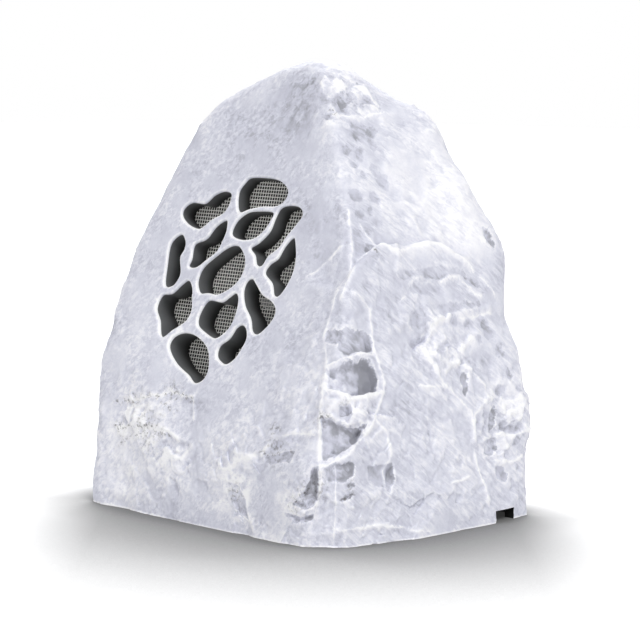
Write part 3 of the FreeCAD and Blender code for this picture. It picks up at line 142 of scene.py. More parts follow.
# Patches of broken rock: azimuth, height, radius, roughness
CRAGS = {
    "front_crag": (-128, 92, 44, 1.5),
    "front_foot": (-112, 50, 40, 1.0),
    "wave": (-72, 46, 44, 0.9),
    "undercut": (-50, 36, 26, 1.2),
    "corner": (-34, 110, 60, 0.6),
    "right": (30, 90, 56, 1.1),
    "boulder": (12, 152, 60, 0.9),
    "summit": (-10, 370, 60, 1.4),
    "shelf": (46, 346, 46, 0.5),
    "left": (190, 140, 110, 0.7),
    "back": (100, 150, 150, 0.8),
}

# View of the photo: its size, focal length and the pixel that the aim shows at
PICTURE = 640
FOCAL_PIXELS = 2250
AIM_PIXEL = (310, 297)
AIM = np.array([0, 0, 190.0])
VIEW_AZIMUTH = math.radians(45)
VIEW_RISE = math.radians(5.4)
VIEW_DISTANCE = 2000
VIEW_BACK = np.array([math.sin(VIEW_AZIMUTH) * math.cos(VIEW_RISE),
                      -math.cos(VIEW_AZIMUTH) * math.cos(VIEW_RISE), math.sin(VIEW_RISE)])
VIEW_ROLL = math.radians(0.6)
LEVEL_RIGHT = np.array([math.cos(VIEW_AZIMUTH), math.sin(VIEW_AZIMUTH), 0])
VIEW_RIGHT = math.cos(VIEW_ROLL) * LEVEL_RIGHT + math.sin(VIEW_ROLL) * np.cross(VIEW_BACK, LEVEL_RIGHT)
VIEW_UP = np.cross(VIEW_BACK, VIEW_RIGHT)

# Thin raised edges of the rock, along pixels of the photo, with their half width, rise and the step back
# under them in millimetres
EDGES = {
    "boulder_crest": ([(341, 296), (351, 271), (360, 253), (368, 247), (382, 242), (391, 250), (402, 249),
                       (417, 244), (431, 244), (445, 248), (461, 260), (483, 280),
                       (495, 292)], 2.4, 1.4, 0),
    "upper_ledge": ([(402, 297), (408, 288), (414, 280), (437, 282), (458, 279), (472, 291),
                     (480, 297)], 2.2, 1.3, 3),
    "lower_ledge": ([(409, 328), (419, 336), (426, 330), (437, 322), (454, 316), (460, 318),
                     (492, 310)], 2.4, 1.5, 4),
    "slant": ([(419, 336), (424, 351), (441, 383), (457, 397), (471, 412), (476, 441)], 1.9, 1.0, 0),
    "slant_foot": ([(420, 387), (445, 387)], 1.9, 0.8, 0),
    "corner_rib": ([(349, 203), (354, 235), (352, 262), (333, 303), (324, 337), (326, 361), (321, 398),
                    (319, 420), (318, 462), (320, 485), (316, 510)], 2.4, 1.3, 0),
    "column_rib": ([(354, 294), (371, 308), (373, 346), (384, 383), (383, 395), (369, 430), (348, 455),
                    (320, 469)], 2.2, 1.3, 0),
    "bowl_bridge": ([(327, 368), (337, 361), (360, 354), (371, 353)], 2.2, 1.3, 0),
    "bowl_floor": ([(322, 388), (339, 392), (350, 400), (371, 396), (383, 392)], 2.2, 1.3, 0),
    "second_rib": ([(374, 420), (388, 432), (391, 455), (384, 470), (392, 492)], 2.2, 0.9, 0),
    "slide": ([(362, 217), (376, 236), (390, 250)], 1.8, 1.1, 0),
    "front_crease": ([(310, 273), (322, 262), (338, 246), (352, 236)], 1.9, 1.0, 0),
    "base_line": ([(337, 530), (365, 527), (393, 525), (408, 530), (430, 533)], 2.4, 0.8, 0),
    "crag_edge": ([(476, 441), (474, 415), (486, 400), (484, 388), (470, 372), (462, 366)], 2.2, 1.3, 0),
    "crag_outer": ([(487, 500), (482, 470), (478, 450)], 2.4, 1.0, 0),
    "wave_fold": ([(262, 455), (238, 460), (232, 470), (240, 482), (247, 495), (250, 512),
                   (252, 528)], 3.6, 1.5, 0),
    "wave_top": ([(262, 455), (275, 440), (300, 432), (310, 434)], 3.2, 1.1, 3),
    "crag_roof": ([(131, 400), (152, 398), (169, 390), (182, 395), (192, 398)], 2.4, 1.1, 3),
    "crag_floor": ([(115, 426), (144, 426), (169, 432), (178, 440)], 2.4, 1.1, 2.5),
    "petal_crease": ([(198, 389), (192, 399), (193, 419)], 1.8, 0.7, 0),
    "lump_left": ([(168, 455), (182, 460), (190, 446)], 2.2, 1.0, 0),
    "scratch": ([(455, 483), (470, 476)], 2.0, 1.0, 0),
    "mould_seam": ([(335, 466), (334, 548)], 0.8, 0.5, 0),
    "summit_foot": ([(336, 110), (348, 114), (362, 114), (382, 110)], 1.6, 1.0, 0),
    "crag_web": ([(486, 400), (497, 398), (512, 402), (525, 398)], 2.0, 1.4, 0),
    "crag_belt": ([(501, 432), (515, 436), (527, 430)], 2.0, 1.4, 0),
    "crag_sill": ([(498, 460), (512, 462), (522, 455)], 2.0, 1.4, 0),
    "summit_edge": ([(322, 76), (330, 98), (336, 111)], 2.2, 1.1, 0),
    "summit_back": ([(356, 88), (372, 98), (386, 108)], 2.2, 1.1, 0),
}
# Chipped hollows, outlined in pixels of the photo, with their depth in millimetres.
# A depth below zero is a raised plate.
CHIPS = {
    "upper_pocket": ([(339, 330), (347, 326), (366, 333), (372, 340), (371, 350), (344, 354),
                      (338, 345)], 5),
    "upper_slit": ([(364, 331), (371, 335), (373, 343), (372, 352), (366, 352)], 6),
    "corner_pocket": ([(325, 333), (334, 330), (346, 329), (343, 339), (336, 343), (326, 341)], 6),
    "bowl": ([(327, 371), (340, 364), (362, 358), (371, 361), (378, 378), (376, 392), (352, 397),
              (336, 389), (326, 389)], 11),
    "shelf_pocket": ([(338, 405), (346, 403), (354, 410), (350, 416), (340, 414)], 6),
    "flat_pocket": ([(320, 417), (331, 417), (343, 424), (357, 428), (368, 424), (355, 444), (336, 457),
                     (322, 462)], 7),
    "lower_pocket": ([(323, 470), (336, 464), (354, 461), (355, 474), (344, 482), (328, 482)], 6),
    "square_pocket": ([(369, 466), (381, 463), (393, 463), (394, 476), (390, 489), (376, 486),
                       (369, 478)], 2.5),
    "square_slit": ([(388, 468), (394, 465), (396, 480), (392, 493), (387, 491)], 5),
    "slit_one": ([(345, 484), (355, 483), (356, 487), (346, 488)], 3),
    "slit_two": ([(339, 500), (348, 495), (355, 493), (352, 498), (342, 502)], 3),
    "crag_pocket": ([(460, 380), (463, 371), (467, 374), (468, 390), (466, 398), (462, 394)], 5),
    "crag_slit": ([(506, 368), (510, 369), (513, 379), (509, 380)], 4),
    "crag_middle": ([(492, 407), (497, 403), (501, 411), (500, 424), (496, 429), (491, 424)], 5),
    "crag_lower": ([(489, 436), (500, 435), (501, 446), (494, 456), (489, 452)], 5),
    "crag_foot": ([(497, 466), (505, 465), (509, 474), (506, 481), (498, 478)], 4),
    "eye": ([(479, 227), (487, 230), (493, 243), (492, 256), (484, 246)], 7),
    "summit_pocket": ([(356, 80), (361, 79), (364, 84), (363, 88), (357, 87)], 4),
    "summit_ledge": ([(336, 93), (350, 92), (360, 90), (372, 97), (384, 105), (372, 104), (350, 101),
                      (340, 103)], 3),
    "upper_band": ([(393, 272), (412, 269), (440, 267), (460, 269), (474, 278), (484, 288), (478, 290),
                    (464, 280), (458, 276), (437, 279), (414, 277), (404, 284)], 1.5),
    "lower_band": ([(407, 314), (420, 306), (440, 303), (462, 302), (482, 299), (483, 306), (470, 311),
                    (454, 313), (440, 317), (424, 325), (412, 326)], 1.5),
    "lump_shadow": ([(149, 448), (156, 445), (159, 458), (151, 459)], 2.5),
    "wave_hollow": ([(226, 480), (238, 484), (246, 500), (248, 520), (236, 510), (228, 494)], 3),
    "wave_inner": ([(262, 458), (280, 453), (296, 450), (290, 462), (272, 464)], 3),
    "undercut": ([(292, 505), (304, 490), (312, 470), (318, 466), (318, 500), (306, 510)], 7),
    "undercut_foot": ([(282, 512), (300, 516), (314, 514), (314, 522), (296, 524)], 5),
    "summit_plate": ([(330, 76), (344, 73), (348, 86), (344, 97), (333, 99)], -3),
}
# Raised edges and chips on the sides that the photo doesn't show, along (azimuth, height)
FAR_EDGES = {
    "back_ledge": ([(62, 196), (74, 206), (86, 199), (97, 208), (108, 203)], 2.4, 1.8, 4),
    "back_foot_ledge": ([(70, 92), (80, 84), (92, 90), (103, 80), (114, 84)], 2.4, 1.6, 3),
    "back_slant": ([(86, 199), (90, 160), (97, 128), (103, 80)], 2.0, 1.4, 0),
    "back_rib": ([(52, 262), (57, 215), (55, 160), (60, 110), (57, 60)], 2.4, 1.4, 0),
    "left_ledge": ([(150, 226), (162, 236), (175, 229), (190, 240)], 2.4, 1.8, 4),
    "left_slant": ([(175, 229), (180, 180), (172, 140), (178, 96)], 2.0, 1.4, 0),
    "left_foot_ledge": ([(158, 84), (170, 96), (184, 88), (198, 94)], 2.4, 1.6, 3),
    "rear_rib": ([(132, 250), (137, 196), (134, 140), (138, 76)], 2.4, 1.4, 0),
}
FAR_CHIPS = {
    "back_pocket": ([(66, 146), (73, 168), (83, 172), (88, 150), (81, 128), (70, 124)], 4),
    "back_bowl": ([(98, 172), (107, 188), (119, 176), (121, 148), (108, 132), (97, 148)], 5),
    "back_slit": ([(84, 118), (97, 122), (100, 112), (87, 106)], 3),
    "left_pocket": ([(156, 190), (166, 212), (177, 198), (174, 168), (160, 164)], 4),
    "left_bowl": ([(179, 152), (190, 172), (202, 154), (197, 122), (182, 120)], 5),
    "left_slit": ([(160, 122), (173, 128), (175, 116), (163, 110)], 3),
}
# Broad paler and greyer patches of tone: pixels of the photo, radius in pixels and tone. The bowl's wall
# patch is painted shade on the bowl's right wall, which faces away from the key light
TONE_PATCHES = {
    "upper_right": (430, 190, 95, 0.65), "upper_back": (470, 240, 50, 0.4),
    "front_upper": (270, 140, 110, -0.3), "front_right": (320, 230, 60, -0.4),
    "left_foot": (130, 450, 90, 0.55), "left_crag": (150, 418, 45, 0.2), "front_low": (215, 470, 70, 0.15),
    "summit": (315, 88, 50, -0.75), "summit_plate": (337, 85, 12, 1.6), "boulder": (440, 330, 80, -0.1),
    # Painted shade on the bowl's right wall, away from the key light
    "bowl_wall_shade": (367, 377, 14, -0.8),
}
# Small grey chips of the upper corner, ledges and right edge: pixels of the photo and radius in pixels
FLAKES = [(356, 132, 4), (373, 125, 6), (374, 137, 5), (348, 141, 5), (361, 145, 5), (355, 153, 5),
          (375, 158, 5), (385, 170, 7), (366, 167, 5), (357, 185, 8), (377, 188, 7), (371, 202, 5),
          (361, 206, 6), (338, 202, 5), (371, 239, 5), (519, 387, 5), (501, 391, 6), (523, 410, 4),
          (510, 422, 6), (505, 456, 4), (517, 442, 5), (519, 467, 5), (512, 481, 4), (455, 323, 4),
          (467, 324, 4), (486, 323, 5), (489, 333, 5), (498, 352, 6), (478, 341, 5)]
# Dark grains of painted shade in the deep corners: pixels of the photo and radius in pixels
SHADED_CORNERS = {
    "crag_lip": (172, 393, 18), "crag_dots": (134, 401, 12), "crag_corner": (118, 425, 14),
    "crag_shelf": (150, 430, 30), "wave_corner": (276, 452, 22), "wave_shadow": (236, 495, 16),
    "undercut": (312, 490, 20), "undercut_foot": (298, 505, 14), "roof": (322, 417, 14),
    "slit": (352, 486, 8), "summit_crack": (332, 106, 9), "front_dots": (275, 430, 12),
    "pocket_roof": (344, 406, 8), "eye": (486, 240, 7),
}
# Dark grains of painted shade along thin cracks: pixels of the photo
SHADED_CRACKS = {
    "crag_roof": [(115, 401), (133, 400), (149, 398), (160, 397), (169, 391), (177, 394), (192, 399)],
    "crag_floor": [(113, 423), (118, 429), (126, 426), (142, 426), (157, 429), (169, 434)],
    "crag_foot": [(115, 442), (126, 438), (136, 435), (150, 435), (163, 434)],
    "crag_inner": [(163, 402), (176, 411)],
    "wave_lip": [(261, 452), (270, 455), (276, 457), (284, 453), (292, 450)],
    "undercut_edge": [(290, 505), (300, 500), (306, 492)],
    "summit_crack": [(327, 101), (333, 108), (339, 113)],
    "boulder_nick": [(375, 250), (380, 257)],
    "upper_slit": [(346, 486), (355, 486)],
    "lower_slit": [(340, 500), (348, 497), (354, 495)],
}


# Shape of the rock, in millimetres
def facet(azimuth, lean, inset, height):
    """Outward normal of one chopped face and its distance from the origin."""
    turn, tilt = math.radians(azimuth), math.radians(lean)
    if height < 0:
        height = HEIGHT + height
    out = abs(math.cos(turn)) * HALF_WIDTH + abs(math.sin(turn)) * HALF_DEPTH - inset
    normal = np.array([math.cos(turn) * math.cos(tilt), math.sin(turn) * math.cos(tilt), math.sin(tilt)])
    return normal, out * math.cos(tilt) + height * math.sin(tilt)


faces = {name: facet(*values) for name, values in FACETS.items()}


def chopped_radius(ways):
    """Distance from the origin to the chopped block, its edges rounded, in each direction."""
    crowd = sum((np.maximum(ways @ normal, 0) / distance) ** ROUNDING for normal, distance in faces.values())
    return crowd ** (-1 / ROUNDING)


def on_face(azimuth, height):
    """Point of the sharp chopped block at an azimuth and a height."""
    way = np.array([math.cos(math.radians(azimuth)), math.sin(math.radians(azimuth)), 0.0])
    out = min((distance - normal[2] * height) / (normal @ way)
              for normal, distance in faces.values() if normal @ way > 0.05)
    return way * out + np.array([0, 0, height])


def ease(value):
    """Smooth step from 0 to 1."""
    value = np.clip(value, 0.0, 1.0)
    return value * value * (3 - 2 * value)


def fade(value, start, length):
    """Smooth step that begins at a start and ends a length later."""
    return ease((value - start) / length)


def lattice(i, j, k):
    """Fixed scattered value from 0 to 1 at each point of a lattice."""
    value = np.sin(i * 127.1 + j * 311.7 + k * 74.7) * 43758.5453
    return value - np.floor(value)


def swirl(points, pitch):
    """Smooth scattered field from -1 to 1 whose swells are about a pitch wide."""
    low = np.floor(points / pitch)
    share = ease(points / pitch - low)
    field = 0
    for corner in range(8):
        step = [(corner >> axis) & 1 for axis in range(3)]
        weight = 1
        for axis in range(3):
            weight = weight * (share[:, axis] if step[axis] else 1 - share[:, axis])
        field = field + weight * lattice(low[:, 0] + step[0], low[:, 1] + step[1], low[:, 2] + step[2])
    return 2 * field - 1


def waves(points, kinds):
    """Sum of scattered fields, each given by its height and pitch."""
    return sum(height * swirl(points, pitch) for height, pitch in kinds)


def ridged(points, pitch):
    """Scattered field with sharp crests, from -1 to 1."""
    return 1 - 2 * np.abs(swirl(points, pitch))


def broken(points, pitch):
    """Field of tilted facets with steps between them, about -0.5 to 0.5, as broken stone has."""
    cell = np.floor(points / pitch)
    best = np.full(len(points), FAR)
    value = np.zeros(len(points))
    for number in range(27):
        i, j, k = (cell + [number // 9 - 1, number // 3 % 3 - 1, number % 3 - 1]).T
        seed = np.stack([i + lattice(i, j, k), j + lattice(j, k, i), k + lattice(k, i, j)], axis=1)
        tilt = np.stack([lattice(i + 7, j, k), lattice(i, j + 7, k), lattice(i, j, k + 7)], axis=1) * 2 - 1
        gap = points / pitch - seed
        far = np.sum(gap * gap, axis=1)
        nearer = far < best
        best = np.where(nearer, far, best)
        value = np.where(nearer, np.sum(gap * tilt, axis=1), value)
    return value


def near(points, place, radius):
    """Distance to a place, as a share of a radius."""
    return np.linalg.norm(points - place, axis=1) / radius


def draped(pixels):
    """Points of the rounded block that show at pixels of the photo."""
    pixels = np.array(pixels, float)[:, :2] - AIM_PIXEL
    rays = pixels[:, :1] * VIEW_RIGHT - pixels[:, 1:] * VIEW_UP - FOCAL_PIXELS * VIEW_BACK
    eye = AIM + VIEW_DISTANCE * VIEW_BACK
    enter = np.max([np.where(rays @ normal < 0, (distance - normal @ eye) / (rays @ normal), 0)
                    for normal, distance in faces.values()], axis=0)
    ways = eye + rays * enter[:, None]
    ways /= np.linalg.norm(ways, axis=1)[:, None]
    return ways * chopped_radius(ways)[:, None]


def spots(table):
    """Places that show at pixels of the photo, each with what else its row holds."""
    return [(place, *values) for place, (_, _, *values) in zip(draped(table), table)]


def placed(near_side, far_side):
    """Features with their outlines as points: the near side's from pixels, the far side's from azimuths."""
    found = [(draped(pixels), *values) for pixels, *values in near_side.values()]
    for turns, *values in far_side.values():
        found.append((np.array([on_face(*turn) for turn in turns]), *values))
    return found


edges = placed(EDGES, FAR_EDGES)
chips = placed(CHIPS, FAR_CHIPS)


def patches(points, places):
    """Sum of soft patches, each with its weight."""
    weights = np.zeros(len(points))
    for azimuth, height, radius, weight in places.values():
        weights += weight * (1 - ease(near(points, on_face(azimuth, height), radius)))
    return weights


def off_stretch(points, start, end):
    """Way to each point from the nearest place on a straight stretch."""
    way = end - start
    share = np.clip((points - start) @ way / (way @ way), 0, 1)
    return points - start - share[:, None] * way


def line_gap(points, corners):
    """Distance to a line, below zero on its left as seen from outside, and the height above it."""
    gap = np.full(len(points), FAR)
    above, side = np.zeros((2, len(points)))
    for start, end in zip(corners, corners[1:]):
        away = off_stretch(points, start, end)
        far = np.linalg.norm(away, axis=1)
        nearer = far < gap
        above = np.where(nearer, away[:, 2], above)
        side = np.where(nearer, np.sign(away @ np.cross(end - start, start)), side)
        gap = np.minimum(gap, far)
    return gap * side, above


def loop_gap(flat, loop):
    """Distance from flat points to a closed flat outline, below zero inside it."""
    gap = np.full(len(flat), FAR)
    inside = np.zeros(len(flat), bool)
    for start, end in zip(loop, np.roll(loop, -1, axis=0)):
        gap = np.minimum(gap, np.linalg.norm(off_stretch(flat, start, end), axis=1))
        across, up = end - start
        level = (start[1] > flat[:, 1]) != (end[1] > flat[:, 1])
        inside ^= level & (flat[:, 0] < start[0] + (flat[:, 1] - start[1]) * across / (up or TINY))
    return np.where(inside, -gap, gap)


# Chips, flakes, ledges and cracks: their sizes, and the waves (height, pitch) in their outlines. A chip's
# floor is uneven and leans, and painted shade darkens it more in a deep chip and towards its right side,
# away from the key light. A flake's size is in millimetres to a pixel.
STEP_REACH = 16
STEP_WALL = 3
CHIP_RIM = 10
CHIP_WALL = 4
WALL_START = 0.2
CHIP_LEVEL = 0.85
CHIP_UNEVEN = 0.3
CHIP_PITCH = 18
CHIP_SHIFT = 30
CHIP_MIDDLE = 0.8
CHIP_LEAN = 0.35
CHIP_LEAST = 0.3
CHIP_MOST = 1.2
LEAST_DARK = 0.2
DARK_DEPTH = 7
CHIP_WAVES = ((1.2, 11), (0.7, 5))
FLAKE_DEPTH = 1.2
FLAKE_SIZE = 0.9
FLAKE_WAVES = ((2.5, 9), (1.5, 4))
EDGE_WAVES = ((1.6, 14), (0.7, 6))
EDGE_SWELL = 0.5
EDGE_PITCH = 19
EDGE_REACH = 3
CRACK_WIDTH = 2.0
CRACK_WAVES = ((1.5, 9),)


def chip_gap(points, corners):
    """Points near a chip: distance to its outline, how far they lie to its right, and which they are."""
    middle = corners.mean(axis=0)
    reach = np.linalg.norm(corners - middle, axis=1).max() + CHIP_RIM
    close = np.linalg.norm(points - middle, axis=1) < reach
    out = middle / np.linalg.norm(middle)
    side = np.cross([0, 0, 1], out)
    side /= np.linalg.norm(side)
    flat = np.stack([side, np.cross(out, side)], axis=1)
    spread = (points[close] - middle) @ flat
    outline = (corners - middle) @ flat
    return loop_gap(spread, outline), spread[:, 0] / np.abs(outline[:, 0]).max(), close


def chipped(points):
    """Rise of the chips, the distance to the nearest chip's ragged outline, and the painted shade of its
    floor.
    """
    rise, dark = np.zeros((2, len(points)))
    nearest = np.full(len(points), float(CHIP_RIM))
    ragged = waves(points, CHIP_WAVES)
    floor = CHIP_LEVEL + CHIP_UNEVEN * swirl(points + CHIP_SHIFT, CHIP_PITCH)
    for corners, depth in chips:
        gap, lean, close = chip_gap(points, corners)
        gap += ragged[close]
        slope = np.clip(CHIP_MIDDLE + CHIP_LEAN * lean, CHIP_LEAST, CHIP_MOST)
        rise[close] -= depth * floor[close] * slope * ease(WALL_START - gap / CHIP_WALL)
        # Painted shade: the floor darkens more in a deep chip and towards its right side, away from the key
        # light
        if depth > 0:
            shade = slope * min(1, LEAST_DARK + depth / DARK_DEPTH)
            dark[close] = np.where(gap < nearest[close], shade, dark[close])
            nearest[close] = np.minimum(nearest[close], gap)
    return rise, nearest, dark


def flaked(points):
    """Rise of the shallow flakes, and the distance to the nearest one's ragged outline."""
    nearest = np.full(len(points), float(CHIP_RIM))
    ragged = waves(points, FLAKE_WAVES)
    for place, radius in spots(FLAKES):
        nearest = np.minimum(nearest, np.linalg.norm(points - place, axis=1) - FLAKE_SIZE * radius + ragged)
    return -FLAKE_DEPTH * ease(WALL_START - nearest / CHIP_WALL), nearest


def edged(points):
    """Rise of the thin raised edges and of the steps under them, and the distance across the nearest one."""
    rise = np.zeros(len(points))
    nearest = np.full(len(points), float(CHIP_RIM))
    wander = waves(points, EDGE_WAVES)
    swollen = 1 + EDGE_SWELL * swirl(points, EDGE_PITCH)
    for corners, width, height, step in edges:
        gap, above = line_gap(points, corners)
        across = (gap + wander) / (width * swollen)
        rise += height * np.exp(-across ** 2)
        rise -= step * np.exp(-(gap / STEP_REACH) ** 2) * ease(0.5 - (above + wander) / STEP_WALL)
        nearest = np.where(np.abs(across) < np.abs(nearest), across, nearest)
    return rise, nearest


def patched_tone(points):
    """Tone of the broad paler and greyer patches, the painted shade on the bowl's wall among them."""
    tone = np.zeros(len(points))
    for place, radius, weight in spots(list(TONE_PATCHES.values())):
        tone += weight * (1 - ease(near(points, place, radius)))
    return tone


def lumped(points):
    """Rise of the broad lumps."""
    rise = np.zeros(len(points))
    for azimuth, height, radius, top in LUMPS.values():
        rise += top * np.maximum(1 - near(points, on_face(azimuth, height), radius) ** 2, 0) ** 2
    return rise


def boulder_step(points):
    """Right face above the boulder's crest stands back, and fades into the summit."""
    x, y, z = points.T
    crest = CREST_TOP - CREST_BEND * np.maximum(np.abs(y) - CREST_FLAT, 0) ** 2
    side = fade(x, *BOULDER_X) * (1 - fade(y, *BOULDER_Y))
    return -CREST_STEP * side * fade(z, crest, CREST_BLEND) * (1 - fade(z, *BOULDER_Z))


# Land that takes the mesh, in the driver frame: sideways, up and out
driver_low, driver_high = (np.array(corner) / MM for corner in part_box("driver_basket"))
DRIVER_X = (driver_low[0] + driver_high[0]) / 2
DRIVER_HEIGHT = 207
BAFFLE_LEAN = math.radians(15)
CELL_DEPTH = 20
FRONT_SETBACK = math.tan(math.radians(FRONT_LEAN)) * (DRIVER_HEIGHT - FRONT_BREAK)
FRONT_MIDDLE = np.array([DRIVER_X, FRONT_SETBACK - HALF_DEPTH, DRIVER_HEIGHT])
LAND_OUT = np.array([0, -math.cos(BAFFLE_LEAN), math.sin(BAFFLE_LEAN)])
LAND_UP = np.array([0, math.sin(BAFFLE_LEAN), math.cos(BAFFLE_LEAN)])
LAND_SIDE = np.array([1.0, 0, 0])
LAND = FRONT_MIDDLE - LAND_OUT * CELL_DEPTH


def quiet(points):
    """The face round the cell openings is almost flat: share of the relief that is left there."""
    x, y, z = (points - FRONT_MIDDLE).T
    spread = np.hypot(x / QUIET_HALF[0], z / QUIET_HALF[1])
    return 1 - QUIET_SHARE * (1 - fade(spread, *QUIET_OUT)) * (1 - fade(y, *QUIET_BACK))


def crumbled(points):
    """Rise of the broken stone, and how craggy it is."""
    craggy = patches(points, CRAGS)
    warps = [swirl(points + shift, WARP_PITCH) for shift in WARP_SHIFTS]
    warped = points + WARP * np.stack(warps, axis=1)
    facets = sum(height * broken(warped, pitch) for height, pitch in BREAKS)
    return (LEAST_BROKEN + craggy) * (facets + RIDGE * ridged(points + RIDGE_SHIFT, RIDGE_PITCH)), craggy


def relief(points):
    """How far the rock's skin stands out from the chopped block."""
    calm = quiet(points)
    crease = 0.5 - np.abs(swirl(points, CRAZE_PITCH)) * CRAZE_CUT
    broad = SWELL * swirl(points, SWELL_PITCH) + CRAZE * crease
    rise = calm * (broad + crumbled(points)[0]) + (1 - calm) * QUIET_SWELL * swirl(points, QUIET_PITCH)
    rise += lumped(points) + boulder_step(points)
    return rise + chipped(points)[0] + flaked(points)[0] + edged(points)[0]


def cell_gap(points):
    """Distance from the nearest cell opening, for the points ahead of the mesh."""
    nearest = np.full(len(points), float(CHIP_RIM))
    ahead = (points - LAND) @ LAND_OUT > 0
    flat = np.stack([(points[ahead] - LAND) @ LAND_SIDE, (points[ahead] - LAND) @ LAND_UP], axis=1)
    for corners in CELLS.values():
        nearest[ahead] = np.minimum(nearest[ahead], np.maximum(loop_gap(flat, smooth_loop(corners)), 0))
    return nearest


def skin(ways):
    """Points of the rock's skin in the given directions, kept in the overall box."""
    base = ways * chopped_radius(ways)[:, None]
    out = base + ways * relief(base)[:, None]
    return np.clip(out, [-HALF_WIDTH, -HALF_DEPTH, 0], [HALF_WIDTH, HALF_DEPTH, HEIGHT])


def lifted(points):
    """The highest point brought to the stated height."""
    top = points[:, 2].max()
    share = fade(points[:, 2], LIFT_START * top, LIFT_LENGTH * top)
    return points + np.outer(share * (HEIGHT - top), [0, 0, 1])


# Rock meshes: rows of points from the rim to the top, how much they crowd towards the camera, the angle of
# a sharp edge, and the share of the height where the summit is lifted
ROWS = 205
CROWDING = 0.35
SHARP_ANGLE = math.radians(50)
LIFT_START = 0.8
LIFT_LENGTH = 0.2
# Most painted shade of a corner patch, tone of the broken stone, most roughness, and blend from the front to
# the flank
CORNER_SHADE_MOST = 0.85
BROKEN_TONE = 0.2
ROUGH_MOST = 1.5
FLANK_BLEND = 0.3
# Material places of the rock
ROCK, CELL_WALL, INSIDE = range(3)


def new_object(name, points, polygons, materials=(), indices=None):
    """Mesh object from points in millimetres."""
    mesh = bpy.data.meshes.new(name)
    mesh.from_pydata((np.asarray(points) * MM).tolist(), [], polygons)
    for material in materials:
        mesh.materials.append(material)
    if indices is not None:
        mesh.polygons.foreach_set("material_index", indices)
    mesh.validate()
    thing = bpy.data.objects.new(name, mesh)
    bpy.context.scene.collection.objects.link(thing)
    return thing


def rock_block(materials):
    """Closed rock: four spherical triangles of facets and a flat underside."""
    index = {}
    ways = []

    def corner(i, j):
        if (i, j) not in index:
            index[(i, j)] = len(ways)
            ways.append((i, j, ROWS - abs(i) - abs(j)))
        return index[(i, j)]

    triangles = []
    for sign_x, sign_y in ((1, 1), (-1, 1), (-1, -1), (1, -1)):
        for i in range(ROWS):
            for j in range(ROWS - i):
                first = corner(sign_x * i, sign_y * j)
                along = corner(sign_x * (i + 1), sign_y * j)
                across = corner(sign_x * i, sign_y * (j + 1))
                found = [(first, along, across)]
                if i + j < ROWS - 1:
                    found.append((along, corner(sign_x * (i + 1), sign_y * (j + 1)), across))
                triangles += found if sign_x * sign_y > 0 else [face[::-1] for face in found]
    rim = [key for key in index if abs(key[0]) + abs(key[1]) == ROWS]
    rim.sort(key=lambda key: math.atan2(key[1], key[0]), reverse=True)
    ways = np.array(ways, float)
    ways /= np.linalg.norm(ways, axis=1)[:, None]
    ways += CROWDING * np.array([math.sin(VIEW_AZIMUTH), -math.cos(VIEW_AZIMUTH), 0])
    ways /= np.linalg.norm(ways, axis=1)[:, None]
    polygons = triangles + [[index[key] for key in rim]]
    return new_object("rock", lifted(skin(ways)), polygons, materials)


def hollow(name, inset, low, high, materials):
    """Space inside the chopped faces, moved in by an inset, between two heights."""
    mesh = bmesh.new()
    bmesh.ops.create_cube(mesh, size=2)
    half = Vector((HALF_WIDTH - inset, HALF_DEPTH - inset, (high - low) / 2))
    for vertex in mesh.verts:
        vertex.co = Vector(a * b for a, b in zip(vertex.co, half)) + Vector((0, 0, (high + low) / 2))
    inner = [(normal, distance - inset - POCKET_FACETS.get(name_of, 0))
             for name_of, (normal, distance) in faces.items() if name_of not in FRONT_FACETS]
    inner.append((LAND_OUT, LAND_OUT @ LAND - inset + ROCK_WALL))
    for normal, distance in inner:
        everything = mesh.verts[:] + mesh.edges[:] + mesh.faces[:]
        made = bmesh.ops.bisect_plane(mesh, geom=everything, plane_co=Vector(normal * distance),
                                      plane_no=Vector(normal), clear_outer=True)
        rim = [piece for piece in made["geom_cut"] if isinstance(piece, bmesh.types.BMEdge)]
        if rim:
            bmesh.ops.holes_fill(mesh, edges=rim)
    bmesh.ops.recalc_face_normals(mesh, faces=mesh.faces)
    bmesh.ops.scale(mesh, vec=(MM, MM, MM), verts=mesh.verts)
    data = bpy.data.meshes.new(name)
    mesh.to_mesh(data)
    mesh.free()
    for material in materials:
        data.materials.append(material)
    data.polygons.foreach_set("material_index", [INSIDE] * len(data.polygons))
    thing = bpy.data.objects.new(name, data)
    bpy.context.scene.collection.objects.link(thing)
    return thing


